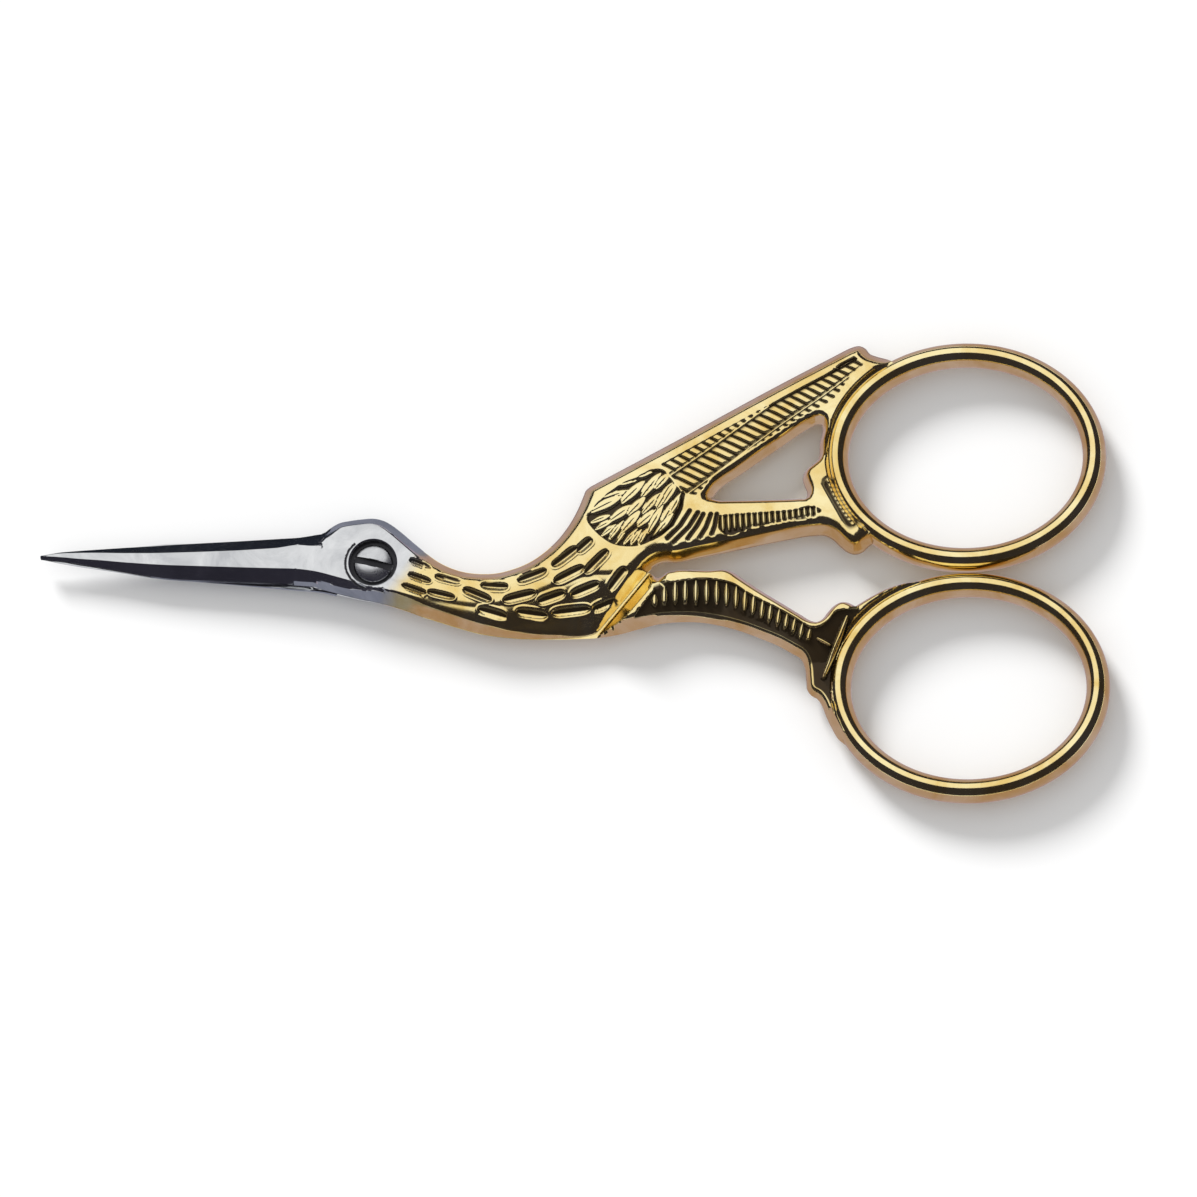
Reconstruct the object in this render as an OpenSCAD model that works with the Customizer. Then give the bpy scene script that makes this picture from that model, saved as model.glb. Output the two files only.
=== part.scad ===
// Stork embroidery scissors: two forged halves that turn on one slotted screw.
// Origin: on the screw's axis, on the plane that the closed scissors rest on.
// +X runs from the screw to the finger rings, +Y to the ring of the front half, +Z up.

/* [Thickness] */
// Thickness of one half where the two halves lie on each other
half_t = 1.75; // [1.5:0.05:2.2]
// Running gap between the two halves
ride_gap = 0.06; // [0.04:0.01:0.12]
// Width of the rounded shoulder between a side wall and a face
face_edge = 0.3; // [0.15:0.05:0.4]
// Height of the rounded shoulder between a side wall and a face
edge_h = 0.4; // [0.2:0.05:0.6]
// How far the forged side wall leans in above and below the parting line
draft = 0.55; // [0.3:0.05:0.7]

/* [Blades] */
// Distance from the screw to the blade tips
blade_len = 28.4; // [24:0.2:34]
// Width of one blade at its heel
heel_w = 4.2; // [3.6:0.1:4.6]
// Thickness of a blade at its heel
heel_t = 1.5; // [1.2:0.05:1.6]
// Thickness of a blade at its tip
tip_t = 0.4; // [0.3:0.05:0.6]
// Width of a blade at its tip
tip_w = 0.25; // [0.2:0.05:0.4]
// Angle from the tool's axis to the line on which the blades close
closing_deg = -1.75; // [-2:0.05:-1.5]

/* [Screw] */
// Diameter of the screw's shank, which is the pivot's journal
journal_d = 2.2; // [1.8:0.1:2.6]
// Diameter of the threaded end, held in the back half
thread_d = 1.8; // [1.4:0.1:2]
// Radial clearance of the journal in the front half's bore
journal_gap = 0.05; // [0.03:0.01:0.08]
// Diameter of the slotted head
head_d = 3.4; // [3:0.1:3.8]
// Thickness of the slotted head at its rim
head_t = 0.4; // [0.3:0.05:0.5]
// Height of the head's crown above its rim
head_crown = 0.2; // [0.1:0.05:0.3]
// Diameter of the seat sunk in the front half for the head
seat_d = 4.2; // [4:0.1:4.6]
// Depth of that seat below the face
seat_depth = 0.7; // [0.6:0.05:0.8]
// Width of the driver slot
slot_w = 0.65; // [0.5:0.05:0.8]
// Depth of the driver slot below the crown
slot_depth = 0.4; // [0.3:0.05:0.5]
// Direction of the driver slot
slot_deg = -13; // [-90:1:90]

/* [Neck and body] */
// Width of the neck at its narrowest
neck_w = 4.9; // [4.5:0.1:5.3]
// Width of the body across the breast
body_w = 8.2; // [7.8:0.1:8.6]
// Width of the upper leg at its middle
upper_leg_w = 4.2; // [3.8:0.1:4.6]
// Width of the lower leg at its middle
lower_leg_w = 4.3; // [3.9:0.1:4.6]
// Height of the upper edge that the back half has under the body
under_y = -0.35; // [-0.6:0.05:-0.3]
// Gap between the halves where one steps past the other
step_gap = 0.2; // [0.15:0.05:0.3]
// Run of the slanted step beside the body
step_run = 1.2; // [0.8:0.1:1.4]

/* [Finger rings] */
// Distance from the screw to the front ring's centre along the tool
ring_x = 49.9; // [48:0.1:54]
// Distance by which the back ring's centre lies further out
ring_shift = 0.5; // [0:0.1:0.8]
// Length of a finger hole
hole_l = 19.8; // [18:0.1:21]
// Height of a finger hole
hole_h = 15.9; // [14:0.1:17]
// Width of the ring's bar seen from above
bar_w = 1.98; // [1.6:0.02:2.3]
// Height of the ring's bar
bar_h = 3; // [2.4:0.1:3.3]
// Gap between the closed rings
ring_gap = 0.2; // [0.1:0.05:0.4]
// Height of the line on which the rings meet
meet_y = -0.45; // [-0.6:0.05:-0.3]

/* [Hidden] */
round_fn = 64;
full_t = 2 * half_t;
inner_top = half_t + ride_gap / 2;
inner_bottom = half_t - ride_gap / 2;
face_inset = draft + face_edge;
big = 60;

// Place where the bare steel blank ends and the plated shank begins
plate_x = 4.2;
// Place where the blade runs into the boss round the screw
heel_x = 4.6;
// How far a boss is drawn past the plating line before it is cut there
boss_over = 0.5;
// Thickness of the ground cutting edge
edge_t = 0.12;
// Largest share of a narrow bar's width that the rounding of one side takes
slim_share = 0.42;
// Small clearance of the screw in its seat and in its thread
screw_fit = 0.02;
// Overlap that joins the head's crown to its rim
weld = 0.001;

bar_r = bar_w / 2;
ring_a = hole_l / 2 + bar_r;
ring_b = hole_h / 2 + bar_r;
ring_rise = ring_b + bar_r + ring_gap / 2;
front_ring = [ring_x, meet_y + ring_rise];
back_ring = [ring_x + ring_shift, meet_y - ring_rise];
bar_steps = 80;
section_steps = 12;

// Section of a full bar, of the top layer and of the bottom layer: [inset from the edge, height]
top_section = [[0, inner_top], [draft, full_t - edge_h], [face_inset, full_t]];
bottom_section = [[face_inset, 0], [draft, edge_h], [0, inner_bottom]];
full_section = [[face_inset, 0], [draft, edge_h], [0, half_t], [draft, full_t - edge_h], [face_inset, full_t]];
collar_low = (full_t - bar_h) / 2;
collar_inset = 0.3;
collar_section = [[collar_inset, collar_low], [0, half_t], [collar_inset, full_t - collar_low]];

// Half of the blade in the frame of its closing line, from heel to tip:
// [share of the length, cutting edge, facet line, spine line, spine, share of the taper]
blade_rows = [
    [0, 0.6, 0.42, -0.2, -0.4, 0],
    [0.08, 0.565, 0.36, -0.12, -0.38, 0.06],
    [0.29, 0.465, 0.21, -0.14, -0.345, 0.28],
    [0.54, 0.335, 0.12, -0.14, -0.35, 0.52],
    [0.61, 0.295, 0.1, -0.13, -0.315, 0.6],
    [0.79, 0.2, 0.08, -0.075, -0.155, 0.78],
    [0.93, 0.115, 0.07, -0.02, -0.05, 0.93],
    [1, 0.03, 0.015, -0.015, -0.03, 1]
];

// Boss round the screw on each half, from the heel to the neck: [x, upper edge, lower edge]
front_boss = [
    [-heel_x, 2.55, -1.95],
    [-4.1, 3.15, -2.1],
    [-3.4, 3.7, -2.25],
    [-2.2, 4.05, -2.5],
    [0, 4.25, -2.85],
    [1.2, 3.8, -3.15],
    [2.1, 3.15, -3.35],
    [3.8, 1.7, -3.75],
    [plate_x + boss_over, 1, -4]
];
back_boss = [
    [-heel_x, 1.6, -2.15],
    [-3.4, 2.2, -2.35],
    [-2.2, 3, -2.65],
    [0, 3.6, -3.05],
    [1.2, 3.3, -3.3],
    [2.1, 2.6, -3.6],
    [3.8, 1.2, -4.2],
    [plate_x + boss_over, 0.5, -4.45]
];

// Neck and body of each half, from the boss to the legs: [x, y, half width]
front_neck = [
    [3.2, -1, neck_w / 2 + 0.1],
    [4.7, -1.8, neck_w / 2 + 0.05],
    [6.9, -2.6, neck_w / 2],
    [9, -3.1, neck_w / 2 + 0.08],
    [11.4, -3.2, neck_w / 2 + 0.4],
    [13.8, -2.78, body_w / 2 - 0.77],
    [15.6, -2.1, body_w / 2 - 0.45],
    [17.3, -1.05, body_w / 2 - 0.2],
    [19.1, 0.7, body_w / 2 - 0.15],
    [20.6, 2.9, body_w / 2],
    [21.7, 4.4, body_w / 2 + 0.1]
];
// Stretch of the back neck under the body, where its upper edge is straight: [x, lower edge]
under_body = [[12.4, -6.2], [15.8, -6.27], [19.2, -6.05], [22, -5.5]];
back_neck = concat([
    [3.4, -1.5, neck_w / 2 + 0.05],
    [5.5, -2.4, neck_w / 2 - 0.15],
    [7.2, -3, neck_w / 2 - 0.15],
    [9, -3.35, neck_w / 2]
], [for (r = under_body) [r[0], (under_y + r[1]) / 2, (under_y - r[1]) / 2]]);

// Line on which the back half steps up beside the front half's body
step_a = [19.3, -5.6];
step_b = [23.5, -0.3];
// Corner of the body over which the back half's neck comes out
throat_a = [16.2, under_y];
throat_b = [13.2, 4.5];

// Shoulder that the wing grows from, left end of the gap under it, and the hips of the legs
shoulder_up = [17.9, 6.95];
shoulder_low = [23.6, 3.4];
gap_corner = [28.8, 6];
hip_front = [22.5, 2.6];
hip_back = [22, -2.9];

// Legs, from the hip to the ring: [share of the way, sideways offset, half width]
upper_leg = [
    [0, 0, 2.6],
    [0.11, 0.05, 2.4],
    [0.3, -0.25, upper_leg_w / 2 + 0.2],
    [0.51, -0.2, upper_leg_w / 2],
    [0.71, -0.25, upper_leg_w / 2 - 0.25],
    [0.87, -0.3, upper_leg_w / 2 - 0.4],
    [1, -0.3, upper_leg_w / 2 - 0.45]
];
lower_leg = [
    [0, 0, 2.55],
    [0.19, 1, 2.15],
    [0.32, 1.6, lower_leg_w / 2],
    [0.43, 1.9, lower_leg_w / 2 + 0.05],
    [0.53, 1.65, lower_leg_w / 2 - 0.1],
    [0.62, 1.2, lower_leg_w / 2 - 0.35],
    [0.72, 0.65, lower_leg_w / 2 - 0.6],
    [0.81, 0.15, lower_leg_w / 2 - 0.7],
    [1, -0.75, lower_leg_w / 2 - 0.8]
];

// Places round the rings where the legs and the wing's corners end: [angle, how far out of the ring's bar]
upper_foot = [207, -0.3];
lower_foot = [158, -0.3];
wing_corners = [[128, 2.7], [164.5, 0.7]];
wing_tucks = [[126.5, 1.2], [161, 0]];
// Wing's root inside the shoulder: share of the way down it, and how far back its two corners lie
root_share = 0.1;
root_up = [0.4, 1.2];
root_low = [1, 1.5];
// Left end of the gap: shares of the wing's upper edge, and the gap's corner moved to either side
gap_share = [0.44, 0.46];
gap_before = [-0.3, -1];
gap_after = [0.1, 0.8];

// How far a collar reaches into its ring's bar
collar_in = 0.5;
// Collar along the outside of each ring: [angle, how far it stands out of the ring]
front_collar = [
    [112, 0.1],
    [122, 0.7],
    [127, 1.4],
    [130, 2.1],
    [140, 1.6],
    [162, 0.75],
    [170, 0.45],
    [180, 0.5],
    [187, 1.7],
    [195, 1.9],
    [208, 2],
    [215, 2.05],
    [222, 1.95],
    [226, 1.7],
    [229, 1],
    [231, 0.1]
];
back_collar = [
    [112, 0.1],
    [124, 0.5],
    [134, 0.75],
    [139, 1.2],
    [142, 1.9],
    [152, 2.05],
    [165, 2],
    [174, 1.9],
    [181, 1.6],
    [186, 0.75],
    [194, 0.4],
    [206, 0.1]
];

// Point between a and b at the share t
function mix(a, b, t) = a + (b - a) * t;

// Points of a smooth curve through the rows p, with n steps from each row to the next
function curve_point(a, b, c, d, t) =
    (b * 2 + (c - a) * t + (a * 2 - b * 5 + c * 4 - d) * t * t + (b * 3 - a - c * 3 + d) * t * t * t) / 2;
function curve(p, n) = let (m = len(p) - 1)
    [for (i = [0:m - 1]) for (j = [0:n - 1])
        curve_point(p[max(i - 1, 0)], p[i], p[i + 1], p[min(i + 2, m)], j / n), p[m]];

// Left and right edge along a centre line whose rows are [x, y, half width]
function flat(p) = [p[0], p[1]];
function side(d) = [-d[1], d[0]] / norm(d);
function edges(rows, n) = let (c = curve(rows, n), m = len(c) - 1)
    [for (i = [0:m]) let (s = side(flat(c[min(i + 1, m)] - c[max(i - 1, 0)])) * c[i][2])
        [flat(c[i]) + s, flat(c[i]) - s]];

// Outline of one cross-section: down the first edge and up the second
function slab_ring(row, section) =
    let (w = norm(row[1] - row[0]), e = (row[1] - row[0]) / w, m = len(section) - 1)
    let (inset = [for (s = section) min(s[0], slim_share * w)])
    concat(
        [for (i = [m:-1:0]) let (q = row[0] + e * inset[i]) [q[0], q[1], section[i][1]]],
        [for (i = [0:m]) let (q = row[1] - e * inset[i]) [q[0], q[1], section[i][1]]]);

// Closed solid through a list of cross-sections that all have the same number of points
module loft(rings, closed = false) {
    n = len(rings[0]);
    last = len(rings) - 1;
    sides = [for (i = [0:closed ? last : last - 1]) for (j = [0:n - 1])
        let (a = i * n + j, b = i * n + (j + 1) % n, c = ((i + 1) % (last + 1)) * n)
        each [[a, b, c + j], [b, c + (j + 1) % n, c + j]]];
    caps = closed ? [] : [[for (j = [n - 1:-1:0]) j], [for (j = [0:n - 1]) last * n + j]];
    polyhedron(points = [for (r = rings) each r], faces = concat(sides, caps), convexity = 6);
}

// Forged bar between two edges, with the given section
module slab(rows, section) {
    loft([for (row = rows) slab_ring(row, section)]);
}

// Point beside a ring's bar, where the place is [angle, distance out of the bar]
function ring_point(centre, place) = let (out = bar_r + place[1])
    centre + [(ring_a + out) * cos(place[0]), (ring_b + out) * sin(place[0])];

// Leg whose rows follow the straight way from its hip to its ring
function leg_rows(rows, hip, foot) =
    let (s = side(foot - hip)) [for (r = rows) let (q = mix(hip, foot, r[0]) + s * r[1]) [q[0], q[1], r[2]]];

// One blade in the frame of its closing line, with its flat inner face at height 0
module blade_blank() {
    rows = curve(blade_rows, 3);
    loft([for (r = rows)
        let (x = -mix(heel_x, blade_len, r[0]), t = mix(heel_t, tip_t, r[5]), w = heel_w)
        let (edge = max(r[1] * w, tip_w / 2), spine = min(r[4] * w, -tip_w / 2))
        [[x, spine, 0], [x, edge, 0], [x, edge, edge_t],
            [x, r[2] * w, t], [x, r[3] * w, t], [x, spine, t / 2]]]);
}

// Edge rows of a boss, given as [x, upper edge, lower edge]
function boss_edges(rows) = [for (r = curve(rows, 3)) [[r[0], r[1]], [r[0], r[2]]]];

// Cuts away everything on the ring side of the plating line
module beyond_plate_line() {
    translate([plate_x, -big / 2, -big / 2])
        cube([big, big, big]);
}

// Cuts away everything on the blade side of the plating line
module before_plate_line() {
    translate([plate_x - big, -big / 2, -big / 2])
        cube([big, big, big]);
}

// Oval bar bent round a finger hole
module ring_bar(centre) {
    loft([for (i = [0:bar_steps - 1])
        let (d = 360 * i / bar_steps, out = [cos(d) / ring_a, sin(d) / ring_b], e = out / norm(out))
        [for (j = [0:section_steps - 1])
            let (s = 360 * j / section_steps)
            [centre[0] + ring_a * cos(d) + e[0] * bar_r * cos(s),
                centre[1] + ring_b * sin(d) + e[1] * bar_r * cos(s),
                half_t + bar_h / 2 * sin(s)]]], closed = true);
}

// Collar that joins a leg or the wing to its ring
module collar(centre, rows) {
    slab([for (r = curve(rows, 3)) [ring_point(centre, [r[0], -collar_in]), ring_point(centre, r)]],
        collar_section);
}

// Way under the front half that the back half's neck takes
module neck_passage() {
    lift = [0, step_gap];
    translate([0, 0, -1])
        linear_extrude(height = 1 + inner_top)
            polygon([[-1, -big / 2], [big / 2, -big / 2], [big / 2, throat_a[1]] + lift, throat_a + lift,
                throat_b + lift, [-1, throat_b[1]]]);
}

// Leg side of the step line, kept clear by the front half
module leg_side() {
    s = side(step_b - step_a) * step_gap;
    translate([0, 0, -1])
        linear_extrude(height = full_t + 2)
            polygon([step_a + s + [0, -big / 2], step_a + s, step_b + s, [big / 2, step_b[1] + s[1]],
                [big / 2, -big / 2]]);
}

// Room over the back half for the front half's neck and body, up to the slanted step
module room_for_body() {
    d = step_b - step_a;
    slope = step_run / half_t;
    translate([step_a[0], step_a[1], inner_bottom])
        rotate([0, 0, atan2(d[1], d[0])])
            rotate([90, 0, 90])
                translate([0, 0, -big / 2])
                    linear_extrude(height = big)
                        polygon([[0, 0], [big, 0], [big, full_t], [-slope * full_t, full_t]]);
}

module front_blade() {
    color("lightsteelblue")
        difference() {
            union() {
                translate([0, 0, inner_top])
                    rotate([0, 0, closing_deg])
                        blade_blank();
                slab(boss_edges(front_boss), top_section);
            }
            cylinder(h = full_t + 1, d = journal_d + 2 * journal_gap, $fn = round_fn);
            translate([0, 0, full_t - seat_depth])
                cylinder(h = seat_depth + 1, d = seat_d, $fn = round_fn);
            beyond_plate_line();
        }
}

module back_blade() {
    color("silver")
        difference() {
            union() {
                translate([0, 0, inner_bottom])
                    rotate([0, 0, closing_deg])
                        rotate([180, 0, 0])
                            blade_blank();
                slab(boss_edges(back_boss), bottom_section);
            }
            translate([0, 0, -1])
                cylinder(h = full_t, d = thread_d, $fn = round_fn);
            beyond_plate_line();
        }
}

module front_shank() {
    foot = ring_point(front_ring, upper_foot);
    wing_up = ring_point(front_ring, wing_corners[0]);
    wing_low = ring_point(front_ring, wing_corners[1]);
    color("goldenrod")
        difference() {
            union() {
                slab(edges(front_neck, 3), full_section);
                slab(edges(leg_rows(upper_leg, hip_front, foot), 3), full_section);
                slab([
                    [mix(shoulder_up, shoulder_low, root_share) - root_up, shoulder_low - root_low],
                    [shoulder_up, shoulder_low],
                    [mix(shoulder_up, wing_up, gap_share[0]), gap_corner + gap_before],
                    [mix(shoulder_up, wing_up, gap_share[1]), gap_corner + gap_after],
                    [wing_up, wing_low],
                    [ring_point(front_ring, wing_tucks[0]), ring_point(front_ring, wing_tucks[1])]
                ], full_section);
                collar(front_ring, front_collar);
            }
            neck_passage();
            leg_side();
            before_plate_line();
            ring_bar(front_ring);
        }
}

module back_shank() {
    foot = ring_point(back_ring, lower_foot);
    color("gold")
        difference() {
            union() {
                slab(edges(back_neck, 3), full_section);
                slab(edges(leg_rows(lower_leg, hip_back, foot), 3), full_section);
                collar(back_ring, back_collar);
            }
            room_for_body();
            before_plate_line();
            ring_bar(back_ring);
        }
}

module front_bow() {
    color("gold")
        ring_bar(front_ring);
}

module back_bow() {
    color("goldenrod")
        ring_bar(back_ring);
}

module pivot_screw() {
    seat_z = full_t - seat_depth + screw_fit;
    crown_r = (head_d * head_d / 4 + head_crown * head_crown) / (2 * head_crown);
    color("gainsboro")
        difference() {
            union() {
                cylinder(h = half_t, d = thread_d - 2 * screw_fit, $fn = round_fn);
                translate([0, 0, inner_bottom + screw_fit])
                    cylinder(h = seat_z - inner_bottom, d = journal_d, $fn = round_fn);
                translate([0, 0, seat_z])
                    cylinder(h = head_t, d = head_d, $fn = round_fn);
                translate([0, 0, seat_z + head_t - weld])
                    intersection() {
                        translate([0, 0, head_crown - crown_r])
                            sphere(r = crown_r, $fn = round_fn);
                        cylinder(h = head_crown + 1, d = head_d, $fn = round_fn);
                    }
            }
            translate([0, 0, seat_z + head_t + head_crown - slot_depth])
                rotate([0, 0, slot_deg])
                    translate([-head_d, -slot_w / 2, 0])
                        cube([2 * head_d, slot_w, 1]);
        }
}

front_blade();
front_shank();
front_bow();
back_blade();
back_shank();
back_bow();
pivot_screw();
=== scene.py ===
# %% [markdown]
# # Stork embroidery scissors
# Small forged scissors whose handles are a long-necked bird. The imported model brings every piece
# at its true size and place. It is loaded first and stays as it is, and the shapes below are fitted
# to it. Inside this script lengths are millimetres, and they become metres when a mesh is written.

import math

import bpy
import numpy as np
from mathutils import Matrix, Vector
from mathutils.geometry import delaunay_2d_cdt


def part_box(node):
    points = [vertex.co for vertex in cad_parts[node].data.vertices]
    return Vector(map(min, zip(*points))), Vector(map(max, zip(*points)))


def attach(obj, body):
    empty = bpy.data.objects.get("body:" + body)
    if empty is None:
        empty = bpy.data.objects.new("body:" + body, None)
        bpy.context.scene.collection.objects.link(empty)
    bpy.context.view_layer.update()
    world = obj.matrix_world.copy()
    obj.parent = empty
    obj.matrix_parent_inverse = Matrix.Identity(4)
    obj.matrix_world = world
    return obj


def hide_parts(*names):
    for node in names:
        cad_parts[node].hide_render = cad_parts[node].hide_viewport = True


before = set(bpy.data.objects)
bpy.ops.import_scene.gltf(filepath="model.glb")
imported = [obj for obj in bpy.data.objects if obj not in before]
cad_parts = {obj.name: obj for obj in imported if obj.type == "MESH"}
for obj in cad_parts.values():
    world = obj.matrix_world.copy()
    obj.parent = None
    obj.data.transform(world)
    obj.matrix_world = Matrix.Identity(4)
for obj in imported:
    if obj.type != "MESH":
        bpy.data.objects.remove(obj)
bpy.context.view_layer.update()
MM = 0.001
print("nodes:", ", ".join(sorted(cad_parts)))


# %% Read the driving sizes from the frame
def box_mm(node):
    """Lowest and highest corner of a node, in millimetres."""
    low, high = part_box(node)
    return np.array(low) / MM, np.array(high) / MM


ring_low, ring_high = box_mm("front_bow")
back_low, back_high = box_mm("back_bow")
FULL = box_mm("front_shank")[1][2]
MEET = FULL / 2
TOP_FLOOR = box_mm("front_blade")[0][2]
LOW_CEILING = box_mm("back_blade")[1][2]
FRONT_RING = (ring_low + ring_high)[:2] / 2
BACK_RING = (back_low + back_high)[:2] / 2
RING_OUT = (ring_high - ring_low)[:2] / 2
BAR_H = ring_high[2] - ring_low[2]
BAR_W = 1.98
PLATE_X = box_mm("front_shank")[0][0]
BLADE_LEN = -box_mm("front_blade")[0][0]
print(f"thickness {FULL:.2f}, halves part at {LOW_CEILING:.2f} and {TOP_FLOOR:.2f}")
print(f"plating line at x {PLATE_X:.2f}, blades {BLADE_LEN:.2f} long")

# %% [markdown]
# ## The camera
# The photograph looks down steeply, from a little below the rings' side, through a long lens. The
# camera is turned about its own axis until the tool lies level in the picture. Here it is placed
# from two angles and from the width that the picture spans, so nothing has to be moved by hand.

# %% Place the camera
VIEW_UP = math.radians(75)
VIEW_ROUND = math.radians(16)
PICTURE_W = 101.34
LENS_WAY = 1200
back = np.array([math.sin(VIEW_ROUND) * math.cos(VIEW_UP),
                 -math.cos(VIEW_ROUND) * math.cos(VIEW_UP), math.sin(VIEW_UP)])
right = np.array([1, 0, 0]) - back[0] * back
right = right / np.linalg.norm(right)
up = np.cross(back, right)
AIM_RIGHT, AIM_UP = 18.82, -2.17
aim = right * AIM_RIGHT + up * AIM_UP

lens = bpy.data.cameras.new("camera")
lens.sensor_width = 36
lens.lens = 36 * LENS_WAY / PICTURE_W
lens.clip_start = 0.05
lens.clip_end = 20
camera = bpy.data.objects.new("camera", lens)
camera.matrix_world = Matrix(((*right, 0), (*up, 0), (*back, 0), (0, 0, 0, 1))).transposed()
camera.location = Vector((aim + back * LENS_WAY) * MM)
bpy.context.scene.collection.objects.link(camera)
bpy.context.scene.camera = camera
print(f"camera with a {lens.lens:.0f} mm lens")

# %% [markdown]
# ## Smooth outlines
# A drop-forged half is an outline pressed between two dies. Its edge is drawn here from a few points
# with a smooth curve through them, one stretch at a time, so a stretch's ends can be sharp corners.
# A Bezier curve object could do the same, but arrays can be measured and used at once.


# %% Curves and lines
def resample(line, step):
    """The same line with points at equal steps, found by its length."""
    way = np.concatenate([[0], np.cumsum(np.linalg.norm(np.diff(line, axis=0), axis=1))])
    count = max(int(round(way[-1] / step)), 1)
    return np.stack([
        np.interp(np.linspace(0, way[-1], count + 1), way, line[:, k]) for k in range(line.shape[1])], 1)


def stretch(points, step=0.15):
    """Hermite curve through the points, where the slope at a point is the mean of its two steps,
    each weighted by the length of the other."""
    p = np.array(points, float)
    if len(p) > 2:
        gap = np.linalg.norm(np.diff(p, axis=0), axis=1)[:, None]
        unit = np.diff(p, axis=0) / gap
        slope = np.vstack([
            unit[:1], (unit[1:] * gap[:-1] + unit[:-1] * gap[1:]) / (gap[1:] + gap[:-1]), unit[-1:]])
        t = np.linspace(0, 1, 16, endpoint=False)[None, :, None]
        a, b, ma, mb = p[:-1, None], p[1:, None], (slope[:-1] * gap)[:, None], (slope[1:] * gap)[:, None]
        curve = (2 * t**3 - 3 * t**2 + 1) * a + (t**3 - 2 * t**2 + t) * ma
        curve = curve + (3 * t**2 - 2 * t**3) * b + (t**3 - t**2) * mb
        p = np.vstack([curve.reshape(-1, p.shape[1]), p[-1:]])
    return resample(p, step)


def loop_of(stretches):
    """One closed line out of stretches that meet end to end."""
    return np.vstack([s[:-1] for s in stretches])


def oval(centre, half, start=0, end=360, step=0.15):
    """Stretch of an ellipse between two angles in degrees: centre + half * (cos, sin)."""
    angle = np.radians(np.linspace(start, end, 240))
    return resample(np.array(centre) + np.array(half) * np.stack([np.cos(angle), np.sin(angle)], 1), step)


# %% Measuring from a line
def reach(p, lines, chunk=6000):
    """Distance from each point to the nearest of the straight steps of the lines: the offset from a step's
    start, less its part along the step, which is kept between 0 and the step's length."""
    a = np.vstack([line[:-1] for line in lines])
    b = np.vstack([line[1:] for line in lines])
    run = b - a
    size = (run**2).sum(1)
    out = np.empty(len(p))
    for k in range(0, len(p), chunk):
        x = p[k:k + chunk, :1] - a[:, 0]
        y = p[k:k + chunk, 1:] - a[:, 1]
        t = np.clip((x * run[:, 0] + y * run[:, 1]) / size, 0, 1)
        out[k:k + chunk] = np.sqrt(((x - t * run[:, 0])**2 + (y - t * run[:, 1])**2).min(1))
    return out


def within(p, loops, chunk=6000):
    """True where a ray to the right crosses the loops an odd number of times."""
    a = np.vstack(loops)
    b = np.vstack([np.roll(loop, -1, axis=0) for loop in loops])
    slope = (b[:, 0] - a[:, 0]) / np.where(b[:, 1] == a[:, 1], 1, b[:, 1] - a[:, 1])
    out = np.empty(len(p), bool)
    for k in range(0, len(p), chunk):
        x, y = p[k:k + chunk, :1], p[k:k + chunk, 1:]
        cross = (a[:, 1] > y) != (b[:, 1] > y)
        out[k:k + chunk] = (cross & (x < a[:, 0] + (y - a[:, 1]) * slope)).sum(1) % 2 == 1
    return out


def side_of(p, line):
    """Signed distance from the nearest step of an open line, positive on its left."""
    a, run = line[:-1], np.diff(line, axis=0)
    size = (run**2).sum(1)
    x, y = p[:, :1] - a[:, 0], p[:, 1:] - a[:, 1]
    t = np.clip((x * run[:, 0] + y * run[:, 1]) / size, 0, 1)
    ox, oy = x - t * run[:, 0], y - t * run[:, 1]
    far = ox**2 + oy**2
    pick = far.argmin(1)
    row = np.arange(len(p))
    turn = run[pick, 0] * oy[row, pick] - run[pick, 1] * ox[row, pick]
    return np.sqrt(far[row, pick]) * np.where(turn < 0, -1, 1)


def ease(x, low, high):
    """0 below low, 1 above high, and 3t^2 - 2t^3 between."""
    t = np.clip((x - low) / (high - low), 0, 1)
    return t * t * (3 - 2 * t)


# %% [markdown]
# ## Plates with a carved face
# Each half is a plate whose two faces are heights over its outline. The flat plan is filled with
# triangles: rows that follow the wall and its rounded shoulder, then an even net of points inside,
# joined by a Delaunay triangulation. The two faces share the rim, so the plate is closed. A
# displacement modifier on a coarse solid would give soft steps instead of the die's crisp ones.

# %% Fill an outline with triangles
WALL_ROWS = (0.2, 0.4, 0.59, 0.66, 0.74, 0.83, 0.93, 1.05, 1.2, 1.4)
CRISP_ROWS = (0.22, 0.38, 0.46, 0.53, 0.61, 0.7, 0.76, 0.81, 0.87, 0.94, 1.03)
STEEP = 1.7


def wall_reach(p, walls, steep):
    """Distance from the walls, where the distance from a steep wall counts several times."""
    far = reach(p, walls) if walls else np.full(len(p), 9.0)
    return np.minimum(far, STEEP * reach(p, steep)) if steep else far


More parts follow.
